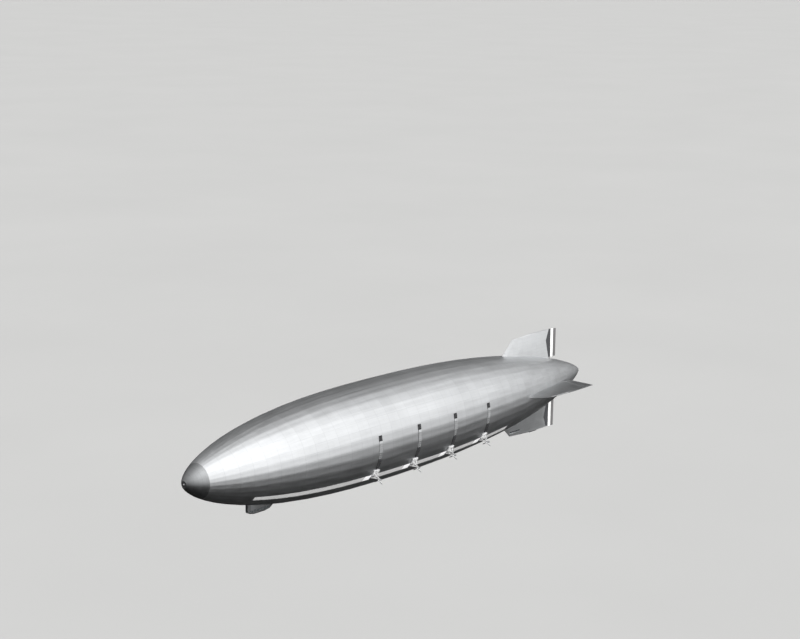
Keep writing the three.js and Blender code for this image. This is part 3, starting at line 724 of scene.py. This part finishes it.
# Fins, rudders and elevators
# Cloth over ribs and spars, doped as the envelope is. The leading edges are rounded, the cloth sags a
# little in each bay, and the surfaces turn on posts at the hull.
RIB_GAP = 0.15
SPAR_GAP = 0.34
FIRST_RIB = 0.9  # metres from the axis, where the fins are still inside the hull
TIP_ROOM = 0.02
EDGE_ROOM = 0.03
FIN_SAG = 0.0012
FAIR_ANGLE = 7  # facets that differ by less are one stretch of cloth
TAIL_PIECES = (
    # CAD node, body, way out from the hull, degrees that it is turned by, tone of its dope, metal in it; the
    # tone and metal differ from fin to fin as painted light and shade
    ("fin_upper", "ship", (0, 0, 1), 0, 0.5, 0.35),
    ("fin_lower", "ship", (0, 0, -1), 0, 0.58, 1.0),
    ("fin_port", "ship", (0, 1, 0), 0, 0.4, 1.0),
    ("fin_starboard", "ship", (0, -1, 0), 0, 0.4, 1.0),
    ("rudder_upper", "rudder_upper", (0, 0, 1), -12, 0.6, 0.0),
    ("rudder_lower", "rudder_lower", (0, 0, -1), -12, 0.6, 0.0),
    ("elevator_port", "elevator_port", (0, 1, 0), 0, 0.4, 1.0),
    ("elevator_starboard", "elevator_starboard", (0, -1, 0), 0, 0.4, 1.0),
)
DOPE_TINT = (0.98, 1.0, 1.015)
RIBBED_LOOK = {
    "panels": 0.05, "streaks": 0.14, "tapes": -0.08, "sheen": 0.14,
    "threads": 60, "weave": 0.25, "depth": 0.001,
}
STRIPE_START = -0.03  # the white stripe on the rudders, forward of the hinge
STRIPE_END = -0.175
STRIPE_TONES = ((0.045, 0.046, 0.05), (0.9, 0.9, 0.89), (0.13, 0.127, 0.127))  # leading, middle, trailing
STATION_LOW = -2.035
STATION_HIGH = -1.965
STATION_FRAMES = (19.5, 20.9, 22.3, 23.7, 25.1)
STATION_PANE = 0.11


def copy_of(node_name, name):
    """A copy of a solid's mesh with its triangles merged into whole faces."""
    piece = duplicate(frame["nodes"][node_name], name)
    piece.parent = None
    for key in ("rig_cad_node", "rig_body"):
        del piece[key]
    piece.data.materials.clear()
    edit(piece)
    bpy.ops.mesh.remove_doubles(threshold=1e-5)
    bpy.ops.mesh.dissolve_limited(angle_limit=math.radians(0.4))
    leave()
    return piece


def slice_across(piece, way, places):
    """Cuts new edges where planes across a direction meet the piece."""
    for place in places:
        edit(piece)
        bpy.ops.mesh.bisect(plane_co=Vector(way) * place, plane_no=way)
        leave()


def bevel(piece, width, segments=1, degrees=30):
    """Rounds the edges of a piece that are sharper than this."""
    limit = math.radians(degrees)
    modify(piece, "BEVEL", width=width, segments=segments, limit_method="ANGLE", angle_limit=limit)


def ribbed_cloth(name, color, metallic, way, spar_way, spar_start, striped):
    """Doped cloth over ribs and spars: a tape over each, panels of slightly different tone, faint streaks."""
    material = new_material(name, color, metallic)
    tree = material.node_tree
    place = node(tree, "TexCoord").outputs["Object"]
    reach = node(tree, "VectorMath", {0: place, 1: way}, operation="DOT_PRODUCT").outputs["Value"]
    chord = node(tree, "VectorMath", {0: place, 1: spar_way}, operation="DOT_PRODUCT").outputs["Value"]
    from_hinge = reckon(tree, "SUBTRACT", chord, spar_start)
    rib = reckon(tree, "MULTIPLY", reach, 1 / RIB_GAP)
    spar = reckon(tree, "MULTIPLY", from_hinge, 1 / SPAR_GAP)
    rib_tape = spread(tree, middle_gap(tree, rib), 0.45, 0.475, 0, 1)
    spar_tape = spread(tree, middle_gap(tree, spar), 0.48, 0.49, 0, 1)
    tape = reckon(tree, "MAXIMUM", rib_tape, spar_tape)
    streaks = grain(tree, 2.5, (1, 1, 4), 4)
    if striped:
        leading, middle, trailing = [(*value, 1) for value in STRIPE_TONES]
        behind = reckon(tree, "LESS_THAN", from_hinge, STRIPE_END)
        ahead = reckon(tree, "GREATER_THAN", from_hinge, STRIPE_START)
        color = blend_colors(tree, ahead, blend_colors(tree, behind, middle, trailing), leading)
    return finish_cloth(material, color, CLOTH_SHEEN, (rib, spar), tape, streaks, RIBBED_LOOK)


# The station's panes are painted shade of the room behind them as well.
station_glass = worn("station_glass", WINDOW_SHADE, 0.0, 0.1, 0.7, 9, 0.03)
for node_name, body, outwards, lean, dope_and_shade_tone, metallic in TAIL_PIECES:
    low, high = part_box(node_name)
    piece = copy_of(node_name, node_name + "_cloth")
    way = Vector(outwards)
    chord_way = Matrix.Rotation(math.radians(lean), 3, "Z") @ Vector((1, 0, 0))
    chord_start = chord_way.dot(Vector((along(POST_FRAME), 0, 0)))
    edit(piece)
    choose("EDGE", lambda p, d: abs(d.dot(way)) < 0.6)
    bpy.ops.mesh.dissolve_limited(angle_limit=math.radians(FAIR_ANGLE))
    leave()
    reaches = sorted(abs(v) for v in (low.dot(way), high.dot(way)))
    if body == "ship":
        reaches[0] = max(reaches[0], FIRST_RIB)
    next_rib = math.ceil(reaches[0] / RIB_GAP * 2) / 2 * RIB_GAP
    ribs = []
    while next_rib < reaches[1] - TIP_ROOM:
        ribs.append(next_rib)
        next_rib += RIB_GAP / 2
    slice_across(piece, tuple(way), ribs)
    spars = [chord_start + SPAR_GAP * i / 2 for i in range(-2, 24)]
    slice_across(piece, tuple(chord_way), [s for s in spars if low.x + EDGE_ROOM < s < high.x - EDGE_ROOM])
    edit(piece)
    across_way = way.cross(chord_way)
    choose(
        "VERT",
        lambda p, n: abs(n.dot(across_way)) > 0.9
        and round(p.dot(way) / RIB_GAP * 2) % 2 == 1
        and abs(p.dot(way) / RIB_GAP * 2 - round(p.dot(way) / RIB_GAP * 2)) < 0.01
        and round((p.dot(chord_way) - chord_start) / SPAR_GAP * 2) % 2 == 1,
    )
    bpy.ops.transform.shrink_fatten(value=-FIN_SAG)
    leave()
    bevel(piece, 0.008, 2, 12)
    # Painted light and shade: each fin's dope gets its own tone, though all are one dope.
    dope_color = tuple(dope_and_shade_tone * tint for tint in DOPE_TINT)
    striped = node_name.startswith("rudder")
    ways = (tuple(way), tuple(chord_way))
    coat(piece, ribbed_cloth(node_name + "_dope", dope_color, metallic, *ways, chord_start, striped))
    if node_name == "fin_lower":
        coat(piece, station_glass)
        pane_ends = [along(number) + end for number in STATION_FRAMES for end in (0, STATION_PANE)]
        slice_across(piece, (1, 0, 0), pane_ends)
        slice_across(piece, (0, 0, 1), (STATION_LOW, STATION_HIGH))
        for rear, front in zip(pane_ends[0::2], pane_ends[1::2]):
            for side in (1, -1):
                press(
                    piece,
                    lambda p, n: n.y * side > 0.8 and rear < p.x < front and STATION_LOW < p.z < STATION_HIGH,
                    0.006, 0.004, each=False,
                )
    smooth(piece, 10)
    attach(piece, body)
    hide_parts(node_name)

# Outriggers
# A bright hood with louvres stands on the skin over each engine room. From it and from the keel four
# streamlined struts meet at a collar, through which the shaft's tube runs out to the gear head.
HUB_OUT = 0.45  # from the skin to the gear head
BRIGHT_PAINT = (0.84, 0.84, 0.84)
HOOD_HALF = 1.5  # in frames
HOOD = {"low": -34.5, "high": -28.0, "thick": 0.05, "cuts": 3, "step": 0.3}
LOUVRE_HALF = 0.115
STRUT_FEET = (
    # forward of the hub, out from the hub towards the hull, up from the hub
    (0.10, -0.262, 0.251), (-0.10, -0.262, 0.251),
    (0.13, -0.60, 0.0), (-0.13, -0.60, 0.0),
)
STRUT_END = (0, -0.07, 0)
STRUT_CHORD = 0.019
STRUT_THICK = 0.009
STRUT_CUFF = 0.03
SHAFT_TUBE = (
    # distance from the hub, radius
    (-0.60, 0.026), (-0.453, 0.026), (-0.452, 0.044), (-0.446, 0.046), (-0.440, 0.042),
    (-0.438, 0.0265), (-0.30, 0.026), (-0.298, 0.029), (-0.290, 0.029), (-0.288, 0.026),
    (-0.092, 0.025), (-0.088, 0.036), (-0.084, 0.038), (-0.046, 0.038), (-0.0403, 0.034),
)


def keep_place(piece):
    """Keeps a piece's place, turn and scale in its mesh."""
    only(piece)
    bpy.ops.object.transform_apply(location=True, rotation=True, scale=True)
    return piece


def settle(piece, turn=(0, 0, 0), move=(0, 0, 0)):
    """Turns and moves a piece, and keeps the change in its mesh."""
    piece.rotation_euler = turn
    piece.location = move
    return keep_place(piece)


def weld(pieces, name):
    """Joins pieces into the first one."""
    only(pieces[0])
    for piece in pieces[1:]:
        piece.select_set(True)
    bpy.ops.object.join()
    whole = bpy.context.object
    whole.name = whole.data.name = name
    return whole


def streamlined_bar(start, end):
    """A strut of drop-shaped section between two points, with a cuff at its outer end."""
    start, end = Vector(start), Vector(end)
    run = end - start
    piece = drum(12, 1, run.length)
    edit(piece)
    scale_by(STRUT_CHORD / 2, STRUT_THICK / 2, 1)
    choose("VERT", lambda p, n: p.x < -STRUT_CHORD * 0.2)
    scale_by(1.5, 0.6, 1)
    choose("FACE", lambda p, n: n.z > 0.9)
    pull()
    scale_by(1.35, 1.6, 1, (0, 0, run.length / 2))
    pull(z=-STRUT_CUFF)
    leave()
    up = run.normalized()
    ahead = (Vector((1, 0, 0)) - up * up.x).normalized()
    turn = Matrix((ahead, up.cross(ahead), up)).transposed().to_4x4()
    piece.matrix_world = Matrix.Translation((start + end) / 2) @ turn
    return keep_place(piece)


def looks_out(place, normal):
    """How squarely a face looks away from the x axis, from 1 to -1."""
    return normal.dot(from_axis(place).normalized())


def hub_place(number, side):
    """Where an outrigger ends, to port for a side of 1 and to starboard for -1."""
    flat = hull_flat(number)
    return along(number), side * (flat * math.cos(KEEL_ANGLE) + HUB_OUT), flat * math.sin(KEEL_ANGLE)


outrigger_paint = worn("outrigger_paint", BRIGHT_PAINT, 0.3, 0.38, 0.86, 9, 0.06, 0.0004)
# The louvres' near-black is painted shade inside the vent openings.
louvre_shade = worn("louvre_shade", (0.05, 0.05, 0.055), 0.3, 0.6, 0.8, 12)
shaft_tube = settle(closed_tube("shaft_tube", SHAFT_TUBE, 24), turn=(0, 0, math.pi / 2))
struts = [streamlined_bar(foot, STRUT_END) for foot in STRUT_FEET]
outrigger_frame = weld([shaft_tube, *struts], "outrigger_frame")
even_out(outrigger_frame)
for index, number in enumerate(ENGINE_FRAMES, 1):
    middle = along(number)
    hood = hull_patch("hood", number - HOOD_HALF, number + HOOD_HALF, **HOOD)
    coat(hood, outrigger_paint, louvre_shade)
    press(hood, lambda p, n: looks_out(p, n) > 0.9 and abs(p.x - middle) < LOUVRE_HALF, 0.006, 0.01)
    bevel(hood, 0.004, 2, 60)
    arms = duplicate(outrigger_frame, "arms")
    coat(arms, outrigger_paint)
    settle(arms, move=hub_place(number, 1))
    outrigger = weld([hood, arms], f"outrigger_port_{index}")
    smooth(outrigger, 35)
    for piece, side in both_sides(outrigger):
        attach(piece, "ship")
        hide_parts(f"power_unit_{side}_{index}")
bpy.data.objects.remove(outrigger_frame)

# Condensers
# Banks of finned tubes on the skin above each engine, which win water back from its exhaust. The casing
# is doped as the cloth is, and its upper and lower ends, where the exhaust comes in and leaves, are dark.
BANK_HALF = 0.85  # in frames
BANK = {"low": -26.0, "high": 14.0, "thick": 0.016, "cuts": 3, "step": 0.425}
BANK_PLAIN = (-13, 8)  # degrees between which it isn't darkened
CASING_GREY = (0.70, 0.71, 0.72)
casing_dope = worn("casing_dope", CASING_GREY, 1.0, 0.46, 0.86, 6, 0.08, 0.0005)
bank_end_dark = worn("bank_end_dark", (0.035, 0.035, 0.037), 0.2, 0.7, 0.7, 10, 0.05)
for index, number in enumerate(ENGINE_FRAMES, 1):
    name = f"condenser_bank_port_{index}"
    bank = hull_patch(name, number - BANK_HALF, number + BANK_HALF, **BANK)
    coat(bank, casing_dope)
    press(bank, lambda p, n: looks_out(p, n) > 0.9, 0.007, 0.005)
    # The bank is near-black towards its upper and lower ends.
    coat(bank, bank_end_dark)
    edit(bank)
    choose("FACE", lambda p, n: not BANK_PLAIN[0] < math.degrees(math.atan2(p.z, p.y)) < BANK_PLAIN[1])
    bpy.ops.object.material_slot_assign()
    leave()
    smooth(bank, 25)
    for piece, side in both_sides(bank):
        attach(piece, "ship")
        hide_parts(f"condenser_{side}_{index}")

# Gear heads
# A cast bevel-gear case that turns at the end of each outrigger, with a pointed tail and a round nose
# behind the propeller.
CASE_PROFILES = {
    # distance along the barrel's or the head's axis, radius
    "barrel": (
        (-0.0397, 0.032), (-0.0365, 0.0355), (-0.0310, 0.0358), (-0.0300, 0.034), (0.0280, 0.034),
        (0.0290, 0.0358), (0.0350, 0.0358), (0.0380, 0.033), (0.0385, 0.015), (0.0398, 0.014),
    ),
    "nose": (
        (0.0, 0.0345), (0.025, 0.035), (0.050, 0.0325), (0.070, 0.0285), (0.078, 0.0268),
        (0.079, 0.030), (0.084, 0.030), (0.085, 0.0262), (0.0898, 0.0258),
    ),
    "tail": (
        (-0.0748, 0.006), (-0.072, 0.011), (-0.060, 0.019), (-0.042, 0.0275), (-0.02, 0.0335), (0.0, 0.035),
    ),
}
BOLT_RING = 0.0245
BOLT_FACE = 0.0385
BOLT_RADIUS = 0.0022
case_grey = worn("case_paint", (0.33, 0.335, 0.34), 0.55, 0.42, 0.75, 25, 0.1, 0.0004)
case_parts = [closed_tube(name, profile, 24) for name, profile in CASE_PROFILES.items()]
settle(case_parts[0], turn=(0, 0, math.pi / 2))
for index in range(8):
    angle = math.radians(45 * index + 22.5)
    place = (BOLT_RING * math.cos(angle), BOLT_FACE, BOLT_RING * math.sin(angle))
    bolt = keep_place(drum(6, BOLT_RADIUS, 0.003, place, (math.pi / 2, 0, 0)))
    bevel(bolt, 0.0004)
    case_parts.append(bolt)
gear_case = weld(case_parts, "gear_case")
dress(gear_case, 35, case_grey)
for index, number in enumerate(ENGINE_FRAMES, 1):
    head = settle(duplicate(gear_case, f"gear_case_port_{index}"), move=hub_place(number, 1))
    for piece, side in both_sides(head):
        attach(piece, f"gear_head_{side}_{index}")
        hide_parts(f"gear_head_{side}_{index}")
bpy.data.objects.remove(gear_case)

# Propellers
# Three blades of polished duralumin, twisted from root to tip, clamped in a boss with a small spinner.
BLADE = (
    # radius, chord, thickness, pitch in degrees
    (0.012, 0.018, 0.018, 48),
    (0.026, 0.020, 0.0175, 48),
    (0.040, 0.029, 0.0165, 44),
    (0.080, 0.0378, 0.0125, 36),
    (0.120, 0.0376, 0.0098, 31),
    (0.155, 0.0362, 0.008, 26.5),
    (0.190, 0.033, 0.0065, 22),
    (0.218, 0.0255, 0.0052, 19.5),
    (0.234, 0.0185, 0.0044, 18),
    (0.2415, 0.011, 0.0036, 17),
    (0.2438, 0.005, 0.0024, 17),
)
BOSS = (
    (-0.0258, 0.020), (-0.0255, 0.024), (-0.022, 0.0258), (0.004, 0.0258),
    (0.012, 0.0235), (0.026, 0.0175), (0.036, 0.0105), (0.0415, 0.003),
)
PROPELLER_AHEAD = 0.116 + SEAT
blade_metal = worn("blade_metal", (0.8, 0.8, 0.81), 0.95, 0.28, 0.85, 14, 0.06)
bpy.ops.mesh.primitive_circle_add(vertices=12, radius=1, location=(0, 0, 0), fill_type="NGON")
blade = bpy.context.object
edit(blade)
radius, chord, thick, pitch = BLADE[0]
bpy.ops.transform.translate(value=(0, 0, radius))
scale_by(thick / 2, chord / 2, 1, (0, 0, radius))
turn_by(math.radians(pitch), "Z", (0, 0, radius))
for last, this in zip(BLADE, BLADE[1:]):
    middle = (0, 0, this[0])
    pull(z=this[0] - last[0])
    turn_by(math.radians(-last[3]), "Z", middle)
    scale_by(this[2] / last[2], this[1] / last[1], 1, middle)
    turn_by(math.radians(this[3]), "Z", middle)
leave()
even_out(blade)
blades = [blade]
for third in (1, 2):
    blades.append(settle(duplicate(blade, "blade"), turn=(math.radians(120 * third), 0, 0)))
screw = weld([closed_tube("boss", BOSS, 24), *blades], "screw")
dress(screw, 40, blade_metal)
for index, number in enumerate(ENGINE_FRAMES, 1):
    for way, side in ((1, "port"), (-1, "starboard")):
        x, y, z = hub_place(number, way)
        piece = settle(duplicate(screw, f"screw_{side}_{index}"), move=(x + PROPELLER_AHEAD, y, z))
        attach(piece, f"propeller_{side}_{index}")
        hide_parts(f"propeller_{side}_{index}")
bpy.data.objects.remove(screw)

# Control car
# A car of painted sheet hangs under the bow, with a row of windows round it. Each window has a raised
# frame and two bars, the glass stands behind, and a handrail for the ground crew runs along each side.
CAR_RINGS = ((171.2, 0.04), (173.2, 0.115), (176.2, 0.15), (181.6, 0.15), (183.4, 0.12), (184.4, 0.06))
CAR_SILL = -1.805
CAR_HEAD = -1.72
CAR_WINDOW_REARS = [174.2 + 1.65 * i for i in range(6)]
CAR_WINDOW_LENGTH = 1.35
CAR_FRAME_WIDTH = 0.011
CAR_FRAME_RISE = 0.0018
CAR_BAR_HALF = 0.0014
CAR_BAR_DEPTHS = (0.0055, 0.0005)  # how far a bar's two sides lie inside the car's wall
CAR_RAIL_LEVEL = -1.836
CAR_RAIL_STAND = 0.009
CAR_RAIL_RADIUS = 0.0016
CAR_RAIL_FRAMES = (173.6, 176.2, 181.6, 183.2)
CAR_POST_FRAMES = (173.8, 176.2, 178.0, 179.8, 181.6, 183.0)


def car_half(number):
    """The car's half width at a frame."""
    for (rear, low), (front, high) in zip(CAR_RINGS, CAR_RINGS[1:]):
        if rear <= number <= front:
            return low + (high - low) * (number - rear) / (front - rear)
    return 0.0


def bar(low, high, round_off):
    """A straight bar with its edges rounded, from its two far corners."""
    low, high = Vector(low), Vector(high)
    bpy.ops.mesh.primitive_cube_add(size=1, location=(low + high) / 2, scale=high - low)
    piece = keep_place(bpy.context.object)
    bevel(piece, round_off, 2)
    return piece


def rod(start, end, radius, sides=10):
    """A round bar between two points, with its ends rounded."""
    start, end = Vector(start), Vector(end)
    run = end - start
    turn = run.to_track_quat("Z", "Y").to_euler()
    piece = keep_place(drum(sides, radius, run.length, (start + end) / 2, turn))
    bevel(piece, radius * 0.3, 2, 60)
    return piece


# The car's sheet is darker than the hull's cloth as painted shade for the hull's shadow over the car.
car_shaded_paint = riveted_sheet("car_shaded_paint", (0.30, 0.305, 0.31), 0.165, 1.0, 0.42)
car = copy_of("car_shell", "car_sheet")
window_ends = [x for rear in CAR_WINDOW_REARS for x in (along(rear), along(rear + CAR_WINDOW_LENGTH))]
frame_ends = [x - CAR_FRAME_WIDTH if i % 2 == 0 else x + CAR_FRAME_WIDTH for i, x in enumerate(window_ends)]
frame_low = CAR_SILL - CAR_FRAME_WIDTH
frame_high = CAR_HEAD + CAR_FRAME_WIDTH
slice_across(car, (1, 0, 0), sorted(window_ends + frame_ends))
slice_across(car, (0, 0, 1), (frame_low, CAR_SILL, CAR_HEAD, frame_high))


def round_a_window(place, normal):
    """True for faces of the car's outer side within a window's frame."""
    if abs(normal.y) < 0.7 or abs(place.y) < car_half(place.x * 10 + LIFT_FRAME) - 0.003:
        return False
    if not frame_low < place.z < frame_high:
        return False
    return any(low < place.x < high for low, high in zip(frame_ends[0::2], frame_ends[1::2]))


edit(car)
choose("FACE", round_a_window)
bpy.ops.mesh.extrude_region_shrink_fatten(TRANSFORM_OT_shrink_fatten={"value": CAR_FRAME_RISE})
leave()
bevel(car, 0.0008)
car_parts = [car]
for side in (1, -1):
    for rear in CAR_WINDOW_REARS:
        for share in (1 / 3, 2 / 3):
            number = rear + CAR_WINDOW_LENGTH * share
            x, face = along(number), car_half(number)
            inner, outer = sorted(side * (face - depth) for depth in CAR_BAR_DEPTHS)
            low = (x - CAR_BAR_HALF, inner, CAR_SILL - 0.001)
            high = (x + CAR_BAR_HALF, outer, CAR_HEAD + 0.001)
            car_parts.append(bar(low, high, 0.0005))
    rail_points = [
        (along(number), side * (car_half(number) + CAR_RAIL_STAND), CAR_RAIL_LEVEL)
        for number in CAR_RAIL_FRAMES
    ]
    for start, end in zip(rail_points, rail_points[1:]):
        car_parts.append(rod(start, end, CAR_RAIL_RADIUS))
    for number in CAR_POST_FRAMES:
        x, face = along(number), car_half(number)
        inner = (x, side * (face - 0.002), CAR_RAIL_LEVEL)
        outer = (x, side * (face + CAR_RAIL_STAND), CAR_RAIL_LEVEL)
        car_parts.append(rod(inner, outer, CAR_RAIL_RADIUS * 0.9))
car = weld(car_parts, "car_sheet")
dress(car, 10, car_shaded_paint)
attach(car, "ship")
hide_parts("car_shell")

# The glass is tinted dark grey, partly as painted shade for the hull's shadow over the car.
glass_shaded_grey = worn("glass_shaded_grey", (0.24, 0.27, 0.28), 0.0, 0.06, 0.8, 8, 0.03)
glass_shaded_grey.node_tree.nodes["Principled BSDF"].inputs["Transmission Weight"].default_value = 0.7
panes = copy_of("car_glazing", "car_glass")
bevel(panes, 0.0006)
dress(panes, 20, glass_shaded_grey)
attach(panes, "ship")
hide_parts("car_glazing")

# Helm
# Two wooden hand wheels on posts, on a deck of boards. The rudder wheel faces aft, and the elevator wheel
# stands across the car to port.
HELM_FOOT = -1.8837
DECK_LOW = (7.26, -0.09, HELM_FOOT)
DECK_HIGH = (7.74, 0.09, HELM_FOOT + 0.004)
BOARD_SEAMS = (-0.06, -0.03, 0, 0.03, 0.06)
WHEELS = ((181.0, 0.0, 0.0), (179.2, 0.075, -math.pi / 2))  # frame, place to port, turn
WHEEL_AXLE = HELM_FOOT + 0.095
WHEEL_RADIUS = 0.045
RIM_RADIUS = 0.0034
HUB_REACH = 0.025  # from the wheel's middle to its post
deck = bar(DECK_LOW, DECK_HIGH, 0.0006)
slice_across(deck, (0, 1, 0), BOARD_SEAMS)
press(deck, lambda p, n: n.z > 0.99, 0.0008, 0.0003)
helm_parts = [deck]
for frame_number, side_place, turn in WHEELS:
    bpy.ops.mesh.primitive_torus_add(
        major_radius=WHEEL_RADIUS,
        minor_radius=RIM_RADIUS,
        major_segments=36,
        minor_segments=8,
        rotation=(0, math.pi / 2, 0),
    )
    wheel_parts = [keep_place(bpy.context.object)]
    for index in range(8):
        angle = math.radians(45 * index)
        way = Vector((0, math.cos(angle), math.sin(angle)))
        wheel_parts.append(rod(way * 0.006, way * (WHEEL_RADIUS + 0.009), 0.0019, 8))
    wheel_parts.append(rod((-0.006, 0, 0), (HUB_REACH, 0, 0), 0.006, 16))
    axle = (along(frame_number), side_place, WHEEL_AXLE)
    wheel = settle(weld(wheel_parts, "wheel"), turn=(0, 0, turn), move=axle)
    x = axle[0] + HUB_REACH * math.cos(turn)
    y = axle[1] + HUB_REACH * math.sin(turn)
    post = rod((x, y, HELM_FOOT + 0.003), (x, y, WHEEL_AXLE + 0.006), 0.007, 16)
    helm_parts += [wheel, post]
helm = weld(helm_parts, "helm_wood")
varnish = worn("varnish", (0.30, 0.17, 0.08), 0.0, 0.35, 0.6, 14, 0.08, 0.0003, (0.3, 3, 3))
dress(helm, 35, varnish)
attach(helm, "ship")
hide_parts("helm")

# Bumpers
# A pneumatic bumper bag under the car, with two ribs round it and a worn flat foot, and a bevelled rubber
# skid under the lower fin on a strip of sheet.
BAG_FRAME = 178.0
BAG_TOP = -1.8903
BAG = (
    # distance down from the car's floor, radius
    (0.0, 0.048), (0.002, 0.052), (0.006, 0.0548), (0.011, 0.0535), (0.013, 0.0522), (0.016, 0.0538),
    (0.021, 0.0532), (0.0235, 0.0512), (0.027, 0.0508), (0.032, 0.0472), (0.0347, 0.044),
)
black_rubber = worn("black_rubber", (0.035, 0.035, 0.035), 0.0, 0.75, 0.6, 18, 0.08, 0.0006)
bag = closed_tube("car_bumper_bag", BAG, 32)
settle(bag, turn=(0, math.pi / 2, 0), move=(along(BAG_FRAME), 0, BAG_TOP))
dress(bag, 40, black_rubber)
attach(bag, "ship")
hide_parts("car_bumper")

low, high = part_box("tail_bumper")
skid = bar(low, high, 0.006)
skid.name = skid.data.name = "tail_bumper_skid"
slice_across(skid, (1, 0, 0), [low.x + (high.x - low.x) * i / 10 for i in range(1, 10)])
press(skid, lambda p, n: abs(n.y) > 0.99, 0.003, 0.002)
dress(skid, 30, black_rubber)
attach(skid, "ship")
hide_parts("tail_bumper")

# Hangar
# A room of sheet metal inside the belly, stiffened by frames of channel every 0.2 m, with the curved rails
# of its doors. The two leaves are pressed panels that roll outboard inside the skin.
BAY_FRAMES = [2.4 + 0.2 * i for i in range(9)]
BAY_WALL = 0.92
BAY_CEILING = -1.49
BAY_WALL_FOOT = -1.68
CHANNEL = 0.012
CHANNEL_RISE = 0.008  # how far a channel stands out from the sheet, and how far it goes in
CHANNEL_SINK = 0.002
LEAF_SEAMS = (2.99, 3.21, 3.43, 3.61)
LEAF_ENDS = (2.82, 3.76)
LEAF_FOLD = (0.171, 0.18)  # the narrow edge beside the stem stays plain
bay_paint = worn("bay_paint", (0.36, 0.37, 0.37), 0.5, 0.5, 0.75, 3, 0.06)
bay = copy_of("hangar_bay", "hangar_sheet")
bevel(bay, 0.0015, 1, 50)
bay_parts = [bay]
for x in BAY_FRAMES:
    low = (x, -BAY_WALL - CHANNEL_SINK, BAY_CEILING - CHANNEL_RISE)
    high = (x + CHANNEL, BAY_WALL + CHANNEL_SINK, BAY_CEILING + CHANNEL_SINK)
    bay_parts.append(bar(low, high, 0.001))
    for side in (1, -1):
        inner, outer = sorted((side * (BAY_WALL - CHANNEL_RISE), side * (BAY_WALL + CHANNEL_SINK)))
        bay_parts.append(bar((x, inner, BAY_WALL_FOOT), (x + CHANNEL, outer, BAY_CEILING), 0.001))
bay = weld(bay_parts, "hangar_sheet")
dress(bay, 25, bay_paint)
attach(bay, "ship")
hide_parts("hangar_bay")


def pressed(place):
    """True on the parts of a leaf that are pressed into panels."""
    return LEAF_ENDS[0] < place.x < LEAF_ENDS[1] and not LEAF_FOLD[0] < place.y < LEAF_FOLD[1]


door_sheet = riveted_sheet("door_sheet", (0.55, 0.56, 0.57), 0.33, 0.9, 0.42)
leaf = copy_of("hangar_door_port", "hangar_door_port_leaf")
slice_across(leaf, (1, 0, 0), LEAF_SEAMS)
press(leaf, lambda p, n: looks_out(p, n) > 0.9 and pressed(p), 0.008, 0.0015)
press(leaf, lambda p, n: looks_out(p, n) < -0.9 and pressed(p), 0.012, 0.003)
bevel(leaf, 0.001, 1, 40)
dress(leaf, 20, door_sheet)
for piece, side in both_sides(leaf):
    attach(piece, f"hangar_door_{side}")
    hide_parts(f"hangar_door_{side}")
